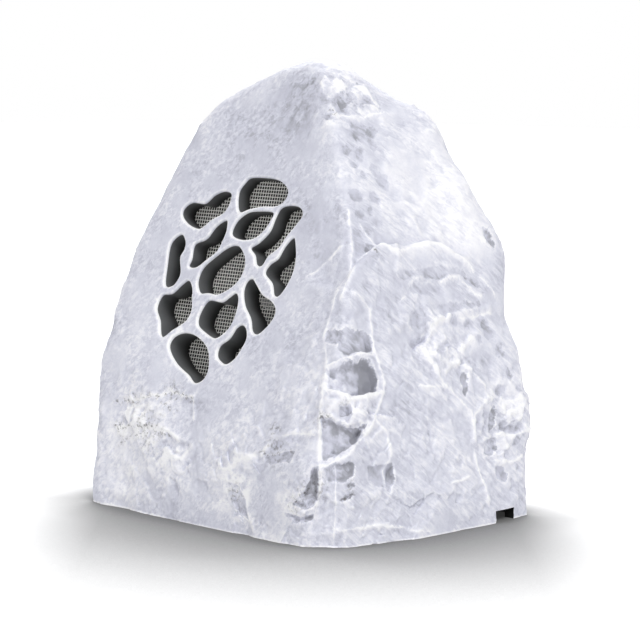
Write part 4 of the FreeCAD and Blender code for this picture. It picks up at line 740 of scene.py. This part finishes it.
# Cell openings, in the driver frame: sideways and up
CELLS = {
    "crown": [(-3, 63), (-9, 79), (-4, 89), (4, 94), (30, 94), (44, 90), (52, 83), (50, 75), (41, 70),
              (25, 69), (10, 66)],
    "shoulder": [(-75, 56), (-74, 63), (-65, 68), (-49, 68), (-39, 76), (-28, 80), (-18, 78), (-17, 70),
                 (-22, 61), (-35, 54), (-45, 46), (-53, 45), (-66, 49)],
    "brow": [(-5, 42), (-3, 53), (6, 61), (17, 64), (39, 64), (39, 57), (33, 47), (23, 40), (8, 38)],
    "scythe": [(23, 31), (32, 37), (41, 47), (44, 59), (48, 68), (58, 71), (70, 70), (76, 64), (72, 56),
               (63, 44), (57, 34), (47, 26), (42, 17), (35, 17), (30, 25)],
    "flank": [(48, 10), (51, 18), (59, 24), (64, 35), (72, 43), (77, 35), (81, 21), (79, 6), (72, -7),
              (65, -8), (59, 2)],
    "slot": [(-79, 10), (-81, 26), (-77, 34), (-69, 38), (-62, 32), (-61, 25), (-64, 17), (-59, 4),
             (-60, -3), (-65, -9), (-75, -9)],
    "blade": [(-49, 17), (-49, 30), (-36, 36), (-27, 48), (-16, 54), (-13, 47), (-14, 38), (-18, 27),
              (-29, 18), (-40, 10), (-50, 10)],
    "heart": [(-31, -9), (-34, -1), (-31, 10), (-20, 20), (-5, 30), (6, 32), (14, 27), (20, 19), (20, 8),
              (13, -3), (-3, -12), (-17, -12), (-26, -13)],
    "hook": [(-77, -31), (-75, -19), (-63, -16), (-53, -7), (-46, -3), (-39, -9), (-35, -21), (-33, -30),
             (-37, -39), (-49, -48), (-60, -56), (-68, -42)],
    "kidney": [(-20, -41), (-21, -31), (-14, -19), (3, -19), (11, -14), (18, -10), (23, -15), (24, -28),
               (20, -40), (12, -48), (4, -51), (-9, -47)],
    "wedge": [(27, -8), (28, 1), (34, 4), (41, -1), (51, -9), (64, -14), (71, -21), (69, -30), (63, -38),
              (56, -43), (49, -41), (43, -30), (33, -20)],
    "petal": [(-47, -66), (-47, -57), (-39, -51), (-26, -50), (-12, -54), (-1, -61), (4, -70), (6, -81),
              (2, -89), (-7, -92), (-17, -86), (-34, -78)],
    "bean": [(13, -65), (14, -57), (23, -50), (29, -40), (35, -37), (41, -40), (44, -48), (41, -57),
             (36, -66), (27, -72), (18, -70)],
}
# Rounded lip of a cell: level from the skin and flare outwards, from the wall to above the skin
LIP = [(-2.4, 0.0), (-1.5, 0.12), (-0.8, 0.45), (-0.3, 1.0), (0.1, 1.9), (4.0, 5.0)]
CURVE_STEPS = 8
LEVEL_ROUNDS = 5
BEHIND_LAND = 2.0
# Cable notch in the rim, and the ledge that takes the base plate
NOTCH_WIDTH = 28
NOTCH_HEIGHT = 10.5
NOTCH_MIDDLE = 86
NOTCH_REACH = 60
NOTCH_BEYOND = 20
LEDGE_WIDTH = 15
LEDGE_THICK = 12


def smooth_loop(corners):
    """Closed smooth curve through the corners."""
    corners = np.array(corners, float)
    before, after, beyond = (np.roll(corners, shift, axis=0) for shift in (1, -1, -2))
    points = []
    for step in range(CURVE_STEPS):
        t = step / CURVE_STEPS
        points.append(0.5 * (2 * corners + (after - before) * t
                             + (2 * before - 5 * corners + 4 * after - beyond) * t ** 2
                             + (3 * corners - before - 3 * after + beyond) * t ** 3))
    return np.stack(points, axis=1).reshape(-1, 2)


def flared(loop, flare):
    """Loop moved outwards."""
    way = np.roll(loop, -1, axis=0) - np.roll(loop, 1, axis=0)
    way /= np.linalg.norm(way, axis=1)[:, None]
    signed = np.sum(loop[:, 0] * np.roll(loop[:, 1], -1) - loop[:, 1] * np.roll(loop[:, 0], -1))
    normal = np.stack([way[:, 1], -way[:, 0]], axis=1) * np.sign(signed)
    return loop + normal * flare


def off_land(loop, level):
    """Points above the mesh land: sideways and up from the driver axis, and out."""
    level = np.broadcast_to(level, len(loop))
    return LAND + loop[:, :1] * LAND_SIDE + loop[:, 1:] * LAND_UP + level[:, None] * LAND_OUT


def skin_level(loop):
    """Height of the rock's skin above the mesh land."""
    level = np.full(len(loop), float(CELL_DEPTH))
    for _ in range(LEVEL_ROUNDS):
        points = off_land(loop, level)
        reach = np.linalg.norm(points, axis=1)
        ways = points / reach[:, None]
        level += (np.linalg.norm(skin(ways), axis=1) - reach) * (ways @ LAND_OUT)
    return level


def cell_cutter(name, corners, materials):
    """Solid that cuts one cell with its rounded lip."""
    loop = smooth_loop(corners)
    top = skin_level(loop)
    rings = [off_land(loop, -BEHIND_LAND)]
    rings += [off_land(flared(loop, flare), top + rise) for rise, flare in LIP]
    count = len(loop)
    polygons = [list(range(count))]
    indices = [CELL_WALL]
    for ring in range(len(rings) - 1):
        for place in range(count):
            low, high = ring * count + place, ring * count + (place + 1) % count
            polygons.append([low, high, high + count, low + count])
            indices.append(CELL_WALL if ring == 0 else ROCK)
    last = (len(rings) - 1) * count
    polygons.append(list(range(last, last + count)))
    indices.append(ROCK)
    cutter = new_object(f"cell_{name}", np.concatenate(rings), polygons, materials, indices)
    outwards(cutter)
    return cutter


def outwards(thing):
    """Turn a closed mesh's faces to look outwards."""
    mesh = bmesh.new()
    mesh.from_mesh(thing.data)
    bmesh.ops.recalc_face_normals(mesh, faces=mesh.faces)
    mesh.to_mesh(thing.data)
    mesh.free()


def notch_cutter(materials):
    """Cable notch in the rim, at the back of the right side."""
    low = np.array([HALF_WIDTH - NOTCH_REACH, NOTCH_MIDDLE - NOTCH_WIDTH / 2, -1])
    high = np.array([HALF_WIDTH + NOTCH_BEYOND, NOTCH_MIDDLE + NOTCH_WIDTH / 2, NOTCH_HEIGHT])
    points = [[(low, high)[(corner >> axis) & 1][axis] for axis in range(3)] for corner in range(8)]
    polygons = [(0, 2, 3, 1), (4, 5, 7, 6), (0, 1, 5, 4), (2, 6, 7, 3), (0, 4, 6, 2), (1, 3, 7, 5)]
    return new_object("notch", points, polygons, materials, [CELL_WALL] * 6)


def carve(thing, cutter):
    """Cut one closed mesh out of another and drop the cutter."""
    change = thing.modifiers.new("cut", "BOOLEAN")
    change.operation = "DIFFERENCE"
    change.solver = "MANIFOLD"
    change.object = cutter
    bpy.context.view_layer.update()
    carved = bpy.data.meshes.new_from_object(thing.evaluated_get(bpy.context.evaluated_depsgraph_get()))
    thing.modifiers.clear()
    thing.data = carved
    bpy.data.objects.remove(cutter)


def paint(thing):
    """What the stone's colour depends on, at each point of the rock."""
    points = np.empty(len(thing.data.vertices) * 3)
    thing.data.vertices.foreach_get("co", points)
    points = points.reshape(-1, 3) / MM
    ways = points / np.linalg.norm(points, axis=1)[:, None]
    base = ways * chopped_radius(ways)[:, None]
    calm = quiet(base)
    fine, craggy = crumbled(base)
    edge = edged(base)[1]
    # Painted shade: dark grains in the deep corners and along the cracks
    corner_shade = np.zeros(len(base))
    for place, radius in spots(list(SHADED_CORNERS.values())):
        corner_shade = np.maximum(corner_shade, CORNER_SHADE_MOST - CORNER_SHADE_MOST * ease(near(base, place, radius)))
    wander = waves(base, CRACK_WAVES)
    for pixels in SHADED_CRACKS.values():
        corner_shade = np.maximum(corner_shade, np.exp(-((line_gap(base, draped(pixels))[0] + wander) / CRACK_WIDTH) ** 2))
    _, chip, chip_shade = chipped(base)
    fields = {
        "tone": patched_tone(base) + BROKEN_TONE * calm * fine,
        "rough": np.minimum(calm * craggy, ROUGH_MOST), "corner_shade": corner_shade,
        "chip": chip, "chip_shade": chip_shade, "flake": flaked(base)[1],
        "edge": edge, "edge_near": 1 - ease(np.abs(edge) / EDGE_REACH),
        # Depth into a cell, which carries the painted shade of its walls
        "cell": cell_gap(base), "deep": 1 - ease((points - LAND) @ LAND_OUT / CELL_DEPTH),
        "flank": ease(0.5 + (base[:, 0] / HALF_WIDTH + base[:, 1] / HALF_DEPTH) / FLANK_BLEND),
    }
    for name, values in fields.items():
        thing.data.attributes.new(name, "FLOAT", "POINT").data.foreach_set("value", values)


def build_rock(materials):
    """Rock shell with its cells, hollow and notch."""
    rock = rock_block(materials)
    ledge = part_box("base_seal")[1].z / MM
    rooms = [
        ("below", ROCK_WALL, -1, ledge),
        ("throat", ROCK_WALL + LEDGE_WIDTH, ledge - 1, ledge + LEDGE_THICK + 1),
        ("above", ROCK_WALL, ledge + LEDGE_THICK, HEIGHT),
    ]
    for name, inset, low, high in rooms:
        carve(rock, hollow(name, inset, low, high, materials))
    for name, corners in CELLS.items():
        carve(rock, cell_cutter(name, corners, materials))
    carve(rock, notch_cutter(materials))
    paint(rock)
    rock.data.polygons.foreach_set("use_smooth", [True] * len(rock.data.polygons))
    rock.data.set_sharp_from_angle(angle=SHARP_ANGLE)
    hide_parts("rock_shell")
    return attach(rock, "cabinet")


# Wire mesh behind the cells, in the driver frame: half width and height, rim and thickness of the panel,
# then spacing, half width, thickness and wave of its wires
MESH_HALF = (106, 120)
MESH_RIM = 11
MESH_THICK = 1.2
WIRE_PITCH = 3.1
WIRE = 0.35
WIRE_THICK = 0.22
WEAVE = 0.12


def wire(fixed, reach, along, turn):
    """One wavy wire with a three-sided section: its points and faces, along axis 0 (sideways) or 1 (up)."""
    steps = np.arange(-reach, reach + WIRE_PITCH / 4, WIRE_PITCH / 2)
    lift = WEAVE * np.cos(np.pi * (steps / WIRE_PITCH + turn))
    points = []
    for across, out in ((-WIRE, 0), (0, WIRE_THICK), (WIRE, 0)):
        flat = np.stack([np.full(len(steps), fixed + across), steps], axis=1)
        points.append(off_land(flat if along else flat[:, ::-1], lift + out - MESH_THICK / 2))
    polygons = []
    for step in range(len(steps) - 1):
        for corner in range(3):
            low = corner * len(steps) + step
            high = (corner + 1) % 3 * len(steps) + step
            polygons.append((low, high, high + 1, low + 1))
    return np.concatenate(points), polygons


def mesh_wires():
    """Every wire of the weave, up and across."""
    for along in (0, 1):
        spread, span = MESH_HALF[1 - along] - MESH_RIM / 2, MESH_HALF[along] - MESH_RIM / 2
        count = int(spread / WIRE_PITCH)
        for number in range(-count, count + 1):
            fixed = number * WIRE_PITCH
            reach = WIRE_PITCH * math.floor(span * math.sqrt(1 - (fixed / spread) ** 2) / WIRE_PITCH)
            if reach:
                yield wire(fixed, reach, along, number + along)


def mesh_rim():
    """Flat elliptical rim that the wires end in."""
    steps = 96
    turn = np.arange(steps) * 2 * math.pi / steps
    points = []
    for inset, level in ((0, 0), (MESH_RIM, 0), (MESH_RIM, -MESH_THICK), (0, -MESH_THICK)):
        width, height = MESH_HALF[0] - inset, MESH_HALF[1] - inset
        points.append(off_land(np.stack([width * np.cos(turn), height * np.sin(turn)], axis=1), level))
    polygons = []
    for step in range(steps):
        after = (step + 1) % steps
        for corner in range(4):
            low, high = corner * steps, (corner + 1) % 4 * steps
            polygons.append((high + step, low + step, low + after, high + after))
    return np.concatenate(points), polygons


def build_mesh(material):
    """Woven wire mesh on its rim."""
    points, polygons, count = [], [], 0
    for more, faces_of in [mesh_rim(), *mesh_wires()]:
        polygons += [[corner + count for corner in face] for face in faces_of]
        points.append(more)
        count += len(more)
    mesh = new_object("wire_mesh", np.concatenate(points), polygons, [material])
    outwards(mesh)
    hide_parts("mesh_grille")
    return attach(mesh, "cabinet")


# Brush strokes: their ways on the front and on the flank, and how far they are drawn out
FRONT_STREAK = Vector((0.76, -0.68, 0.84))
FLANK_STREAK = Vector((0.1, 0.75, -0.6))
STREAK_STRETCH = 4.5
# Colours of the stone from grey to white, of the painted shade in its corners and cracks, and of a cell's
# wall from its lip to the mesh
STONE = [(0.05, (0.33, 0.335, 0.375)), (0.35, (0.565, 0.573, 0.66)), (0.55, (0.685, 0.695, 0.775)),
         (0.75, (0.83, 0.83, 0.88)), (0.95, (0.95, 0.95, 0.965))]
# Grey of the painted shade in the deep corners and cracks
SHADE_GREY = (0.11, 0.10, 0.098)
# The cell wall's charcoal paint goes black deeper in the cell: painted shade
CHARCOAL_AND_SHADE = [(0.0, (0.13, 0.135, 0.14)), (0.5, (0.08, 0.083, 0.086)), (0.85, (0.02, 0.02, 0.02)),
            (1.0, (0.006, 0.006, 0.006))]
# How much each mark moves the stone's tone
MOTTLE = 0.55
GRAIN = 0.2
BRUSH = 0.34
CRUMPLE = 0.5
# Tone of the broad patches, the bowl's painted shade among them
PATCH_TONE = 0.4
# Pointiness: paler on sharp crests, where the dry brush catches, and painted shade in the creases
BEND_SHADE = 2.5
# Painted highlight along the bottom edge of the rim
FOOT_HIGHLIGHT = 0.2
# Strength of the edge lines and of the painted highlight round the cell lips
EDGE_LINE = 0.46
CHIP_FLOOR = -0.6
CHIP_EDGE = 0.35
FLAKE_TONE = -0.2


# Materials
def shader(name, roughness=0.6, metallic=0.0):
    """Material with a principled shader: its tree and the shader node."""
    material = bpy.data.materials.new(name)
    material.use_nodes = True
    tree = material.node_tree
    surface = tree.nodes["Principled BSDF"]
    surface.inputs["Roughness"].default_value = roughness
    surface.inputs["Metallic"].default_value = metallic
    return material, tree, surface


def node(tree, kind, output, inputs, **settings):
    """Output of a new shader node; each input is another output, a plain value or a colour."""
    made = tree.nodes.new("ShaderNode" + kind)
    for name, value in settings.items():
        setattr(made, name, value)
    for key, value in inputs.items():
        socket = made.inputs[key]
        if isinstance(value, bpy.types.NodeSocket):
            tree.links.new(value, socket)
        else:
            socket.default_value = (*value, 1) if socket.type == "RGBA" else value
    return made.outputs[output]


def noise(tree, place, scale, detail=4.0, roughness=0.55, distortion=0.0):
    """Noise texture: its value."""
    return node(tree, "TexNoise", "Fac", {"Vector": place, "Scale": scale, "Detail": detail,
                                          "Roughness": roughness, "Distortion": distortion})


def ramp(tree, value, stops):
    """Colour ramp over (place, grey or colour) stops."""
    made = tree.nodes.new("ShaderNodeValToRGB")
    elements = made.color_ramp.elements
    while len(elements) < len(stops):
        elements.new(0.5)
    for element, (place, colour) in zip(elements, stops):
        element.position = place
        element.color = (*colour, 1) if isinstance(colour, tuple) else (colour, colour, colour, 1)
    tree.links.new(value, made.inputs["Fac"])
    return made.outputs["Color"]


def mix(tree, share, first, second):
    """Mix of two colours."""
    return node(tree, "Mix", 2, {0: share, 6: first, 7: second}, data_type="RGBA")


def attribute(tree, name):
    """Value of a point attribute."""
    return node(tree, "Attribute", "Fac", {}, attribute_name=name)


def math_node(tree, operation, *values):
    """Sum, product or like of values."""
    return node(tree, "Math", 0, dict(enumerate(values)), operation=operation)


def streaked(tree, place, way):
    """Coordinates stretched along the brush strokes."""
    turn = way.to_track_quat("Z", "Y").to_euler()
    inputs = {"Vector": place, "Rotation": turn, "Scale": (1, 1, STREAK_STRETCH)}
    return node(tree, "Mapping", "Vector", inputs, vector_type="TEXTURE")


def centred(tree, value, spread):
    """Noise value turned to lie round 0, times a spread."""
    return math_node(tree, "MULTIPLY_ADD", value, spread, -spread / 2)


def total(tree, *values):
    """Sum of several values."""
    return reduce(lambda level, value: math_node(tree, "ADD", level, value), values)


def times(tree, *values):
    """Product of several values."""
    return reduce(lambda level, value: math_node(tree, "MULTIPLY", level, value), values)


def crumpled(tree, place, scale):
    """Sharp crests and hollows, about -0.5 to 0.5."""
    middle = math_node(tree, "SUBTRACT", noise(tree, place, scale, 5, 0.6, 0.3), 0.5)
    return math_node(tree, "MULTIPLY_ADD", math_node(tree, "ABSOLUTE", middle), -4.0, 0.5)


def chip_tone(tree, place, ragged):
    """Uneven grey floors of the chips, deepened by painted shade, their worn pale rims, and the flat grey of
    the flakes.
    """
    gap = math_node(tree, "MULTIPLY_ADD", math_node(tree, "ADD", attribute(tree, "chip"), ragged), 0.05, 0.5)
    floor = ramp(tree, gap, [(0.36, 0.75), (0.45, 1.0), (0.51, 0.0)])
    rim = ramp(tree, gap, [(0.49, 0.0), (0.508, 1.0), (0.535, 0.5), (0.60, 0.0)])
    stain = math_node(tree, "ADD", 0.75, centred(tree, noise(tree, place, 55, 2, 0.5), 1.4))
    worn = ramp(tree, noise(tree, place, 60, 5, 0.6), [(0.42, 0.1), (0.56, 1.0)])
    flake_gap = math_node(tree, "MULTIPLY_ADD", ragged, 1.5, attribute(tree, "flake"))
    flake = ramp(tree, math_node(tree, "MULTIPLY_ADD", flake_gap, 0.05, 0.5), [(0.46, 1.0), (0.53, 0.0)])
    chip = total(tree, times(tree, floor, stain, CHIP_FLOOR), times(tree, rim, worn, CHIP_EDGE))
    # The chip's painted shade scales its floor's grey and its rim
    return total(tree, times(tree, chip, attribute(tree, "chip_shade")), times(tree, flake, FLAKE_TONE))


def edge_tone(tree, place, ragged):
    """White worn line along the raised edges, and a painted highlight round the cell lips, 0 where there is
    none.
    """
    across = math_node(tree, "MULTIPLY_ADD", ragged, 0.3, attribute(tree, "edge"))
    across = times(tree, math_node(tree, "ABSOLUTE", across), 0.3)
    line = ramp(tree, across, [(0.03, 1.0), (0.12, 0.5), (0.40, 0.0)])
    worn = ramp(tree, noise(tree, place, 70, 4, 0.6), [(0.38, 0.28), (0.54, 1.0)])
    line = times(tree, line, worn, attribute(tree, "edge_near"))
    # Painted highlight: a thin white line round each cell's lip
    beside = times(tree, attribute(tree, "cell"), 0.1)
    return math_node(tree, "MAXIMUM", line, ramp(tree, beside, [(0.07, 1.0), (0.12, 0.5), (0.28, 0.0)]))


def brushed(tree, place, strokes):
    """Dry white brush strokes with crisp edges, missing in some patches."""
    stroke = ramp(tree, strokes, [(0.40, 0.0), (0.50, 0.5), (0.60, 1.0)])
    patch = ramp(tree, noise(tree, place, 40, 4, 0.6), [(0.40, 0.15), (0.54, 1.0)])
    return times(tree, math_node(tree, "SUBTRACT", stroke, 0.45), patch)


def stroke_noise(tree, place):
    """Noise drawn out along the brush strokes, which run down the flank and up across the front."""
    ways = (FRONT_STREAK, FLANK_STREAK)
    front, flank = (noise(tree, streaked(tree, place, way), 240, 8, 0.7, 0.5) for way in ways)
    return mix(tree, attribute(tree, "flank"), front, flank)


def foot_highlight(tree, place):
    """Painted highlight: a pale line along the bottom edge of the rim."""
    height = node(tree, "SeparateXYZ", "Z", {"Vector": place})
    return ramp(tree, times(tree, height, 200.0), [(0.1, 1.0), (0.4, 0.0)])


def rock_material():
    """Lilac-grey stone, dry-brushed with white, with pale edges and grey chips, painted highlights round the
    cell lips and along the foot, and painted shade in chip floors, creases, corners and cracks.
    """
    material, tree, surface = shader("brushed_stone", roughness=0.7)
    place = node(tree, "TexCoord", "Object", {})
    strokes = stroke_noise(tree, place)
    ragged = centred(tree, noise(tree, place, 170, 6, 0.7), 8.0)
    crumple = times(tree, crumpled(tree, place, 70), attribute(tree, "rough"))
    # Paler on sharp crests, where the dry brush catches, and darker in creases as painted shade
    bend = node(tree, "NewGeometry", "Pointiness", {})
    level = total(
        tree, 0.5,
        centred(tree, noise(tree, place, 22, 4), MOTTLE),
        centred(tree, noise(tree, place, 420, 3, 0.6), GRAIN),
        times(tree, brushed(tree, place, strokes), BRUSH),
        times(tree, crumple, CRUMPLE),
        times(tree, attribute(tree, "tone"), PATCH_TONE),
        centred(tree, bend, BEND_SHADE),
        chip_tone(tree, place, ragged),
        # Painted highlight along the bottom edge of the rim
        times(tree, foot_highlight(tree, place), FOOT_HIGHLIGHT),
        times(tree, edge_tone(tree, place, ragged), EDGE_LINE))
    # Dark grains of painted shade in the deep corners and cracks
    stone = mix(tree, corner_shade_share(tree, place), ramp(tree, level, STONE), SHADE_GREY)
    tree.links.new(stone, surface.inputs["Base Color"])
    height = total(tree, noise(tree, place, 120, 6, 0.65, 0.5), strokes, times(tree, crumple, 2.0))
    bump = node(tree, "Bump", "Normal", {"Height": height, "Strength": 0.5, "Distance": 0.0012})
    tree.links.new(bump, surface.inputs["Normal"])
    return material


def corner_shade_share(tree, place):
    """Dark grains of painted shade where the rock's corner shade attribute is high."""
    grain = ramp(tree, noise(tree, place, 260, 5, 0.7), [(0.50, 0.0), (0.64, 1.0)])
    return times(tree, attribute(tree, "corner_shade"), grain)


def wall_material():
    """Charcoal cell walls that go black with painted shade towards the mesh."""
    material, tree, surface = shader("cell_charcoal_and_shade", roughness=0.55)
    tree.links.new(ramp(tree, attribute(tree, "deep"), CHARCOAL_AND_SHADE), surface.inputs["Base Color"])
    return material


def plain_material(name, colour, roughness, metallic=0.0):
    """One-colour finish with a faint unevenness in its gloss."""
    material, tree, surface = shader(name, roughness, metallic)
    place = node(tree, "TexCoord", "Object", {})
    surface.inputs["Base Color"].default_value = (*colour, 1)
    spread = 0.06
    gloss = ramp(tree, noise(tree, place, 90), [(0.3, roughness - spread), (0.7, roughness + spread)])
    tree.links.new(gloss, surface.inputs["Roughness"])
    return material


# Roughness and metal share of each kind of finish
FINISH = {
    "painted_metal": (0.5, 0.0), "brushed_steel": (0.35, 1.0), "aluminium": (0.4, 1.0),
    "brass": (0.35, 1.0), "rubber": (0.8, 0.0), "matte_plastic": (0.6, 0.0), "gloss_plastic": (0.25, 0.0),
    "fabric": (0.9, 0.0), "ceramic": (0.55, 0.0),
}


def finish_nodes():
    """Give every shown CAD node the finish of its slot."""
    slots = {entry["slot"]: entry for entry in frame["record"]["materials"]}
    made = {}
    for part in frame["record"]["subparts"]:
        slot = slots[part["material_slot"]]
        if slot["slot"] not in made:
            made[slot["slot"]] = plain_material(slot["slot"], slot["base_color"][:3], *FINISH[slot["class"]])
        data = frame["nodes"][part["node"]].data
        data.materials.clear()
        data.materials.append(made[slot["slot"]])


# Light: strength of the sky, and each sun's azimuth, height and softness in degrees and its strength
SKY_TOP = 0.52
SKY_HORIZON = 0.16
SUNS = {"key": (67, 47, 30, 0.56), "front": (15, 14, 40, 0.17), "rear": (225, 42, 45, 0.55)}
# Floor: its white, how much it is lifted to the background's white, and its shade before the rock, in metres
FLOOR_WHITE = 0.80
FLOOR_LIFT = 0.03
FRONT_LIFT = 0.2
BACK_LIFT = 0.4
FRONT_WAY = (0.59, -0.82, 0)
SHADE_REACH = 0.3
CONTACT_REACH = 0.07
SHADE_FADE = 0.06
SHADE_HALF = 0.18
SHADE_SIDE = 0.12


def seen_directly(tree):
    """1 for rays that show a surface to the camera, straight or in a gloss."""
    rays = tree.nodes.new("ShaderNodeLightPath").outputs
    gloss = math_node(tree, "MAXIMUM", rays["Is Glossy Ray"], rays["Is Transmission Ray"])
    return math_node(tree, "MAXIMUM", rays["Is Camera Ray"], gloss)


def along(tree, way):
    """Distance of a floor point from the middle, along a direction."""
    place = node(tree, "NewGeometry", "Position", {})
    return node(tree, "VectorMath", "Value", {0: place, 1: way}, operation="DOT_PRODUCT")


def before_rock(tree):
    """1 on the floor in front of the rock, seen from the camera, and 0 beside it and behind it."""
    ahead = math_node(tree, "MULTIPLY_ADD", along(tree, FRONT_WAY), 1 / SHADE_FADE, 1.0)
    aside = math_node(tree, "ABSOLUTE", along(tree, LEVEL_RIGHT))
    return times(tree, ramp(tree, ahead, [(0.0, 0.0), (1.0, 1.0)]),
                 ramp(tree, aside, [(SHADE_HALF, 1.0), (SHADE_HALF + SHADE_SIDE, 0.0)]))


def shading(tree, reach):
    """Share of open sky over the floor, within a reach."""
    return node(tree, "AmbientOcclusion", "AO", {"Distance": reach})


def floor_material():
    """Pale paper, white where the camera sees it lit and grey where the rock shades it."""
    material, tree, surface = shader("floor_paper", roughness=0.9)
    surface.inputs["Specular IOR Level"].default_value = 0
    seen, front = seen_directly(tree), before_rock(tree)
    wide, close = shading(tree, SHADE_REACH), shading(tree, CONTACT_REACH)
    shaded = mix(tree, front, ramp(tree, close, [(0.55, 0.25), (1.0, FLOOR_WHITE)]),
                 ramp(tree, wide, [(0.55, 0.20), (0.8, 0.45), (0.98, FLOOR_WHITE)]))
    tree.links.new(mix(tree, seen, (FLOOR_WHITE,) * 3, shaded), surface.inputs["Base Color"])
    surface.inputs["Emission Color"].default_value = (1, 1, 1, 1)
    lift = mix(tree, front, ramp(tree, close, [(0.6, FLOOR_LIFT), (1.0, BACK_LIFT)]),
               ramp(tree, wide, [(0.92, FLOOR_LIFT), (1.0, FRONT_LIFT)]))
    tree.links.new(times(tree, seen, lift), surface.inputs["Emission Strength"])
    return material


def build_floor():
    """Wide paper floor under the rock."""
    bpy.ops.mesh.primitive_plane_add(size=30, location=(0, 0, 0))
    floor = bpy.context.object
    floor.name = "floor"
    floor.data.materials.append(floor_material())


def sun_light(name, azimuth, rise, softness, strength):
    """Even light from one side, with soft shadows."""
    light = bpy.data.lights.new(name, "SUN")
    light.energy = strength * math.pi
    light.angle = math.radians(softness)
    lamp = bpy.data.objects.new(name, light)
    turn, tilt = math.radians(azimuth), math.radians(rise)
    way = Vector((math.sin(turn) * math.cos(tilt), -math.cos(turn) * math.cos(tilt), math.sin(tilt)))
    lamp.rotation_euler = way.to_track_quat("Z", "Y").to_euler()
    bpy.context.scene.collection.objects.link(lamp)


def build_world():
    """Soft overhead light that fades to the horizon, plain white where the camera looks past the floor."""
    world = bpy.data.worlds.new("studio")
    bpy.context.scene.world = world
    world.use_nodes = True
    tree = world.node_tree
    soft = tree.nodes["Background"]
    soft.inputs["Color"].default_value = (0.985, 0.985, 1.0, 1)
    height = node(tree, "SeparateXYZ", "Z", {"Vector": node(tree, "TexCoord", "Generated", {})})
    height = math_node(tree, "MAXIMUM", height, 0.0)
    strength = math_node(tree, "MULTIPLY_ADD", height, SKY_TOP - SKY_HORIZON, SKY_HORIZON)
    tree.links.new(strength, soft.inputs["Strength"])
    white = node(tree, "Background", "Background", {"Color": (1, 1, 1)})
    choose = node(tree, "MixShader", "Shader",
                  {"Fac": seen_directly(tree), 1: soft.outputs["Background"], 2: white})
    tree.links.new(choose, tree.nodes["World Output"].inputs["Surface"])


def build_camera():
    """View of the photo: from the front right corner, a little above the rock's middle."""
    data = bpy.data.cameras.new("view")
    data.sensor_width = 36
    data.lens = FOCAL_PIXELS * data.sensor_width / PICTURE
    data.shift_x = (PICTURE / 2 - AIM_PIXEL[0]) / PICTURE
    data.shift_y = (AIM_PIXEL[1] - PICTURE / 2) / PICTURE
    camera = bpy.data.objects.new("view", data)
    camera.location = (AIM + VIEW_DISTANCE * VIEW_BACK) * MM
    camera.rotation_euler = Matrix((VIEW_RIGHT, VIEW_UP, VIEW_BACK)).transposed().to_euler()
    bpy.context.scene.collection.objects.link(camera)
    bpy.context.scene.camera = camera


def main():
    """Dress the part and set the stage."""
    bpy.context.scene.view_settings.view_transform = "Standard"
    finish_nodes()
    inside = plain_material("raw_resin", (0.42, 0.42, 0.43), 0.8)
    build_rock([rock_material(), wall_material(), inside])
    build_mesh(plain_material("mesh_wire", (0.92, 0.91, 0.87), 0.4))
    build_floor()
    build_world()
    for name, values in SUNS.items():
        sun_light(name, *values)
    build_camera()


main()
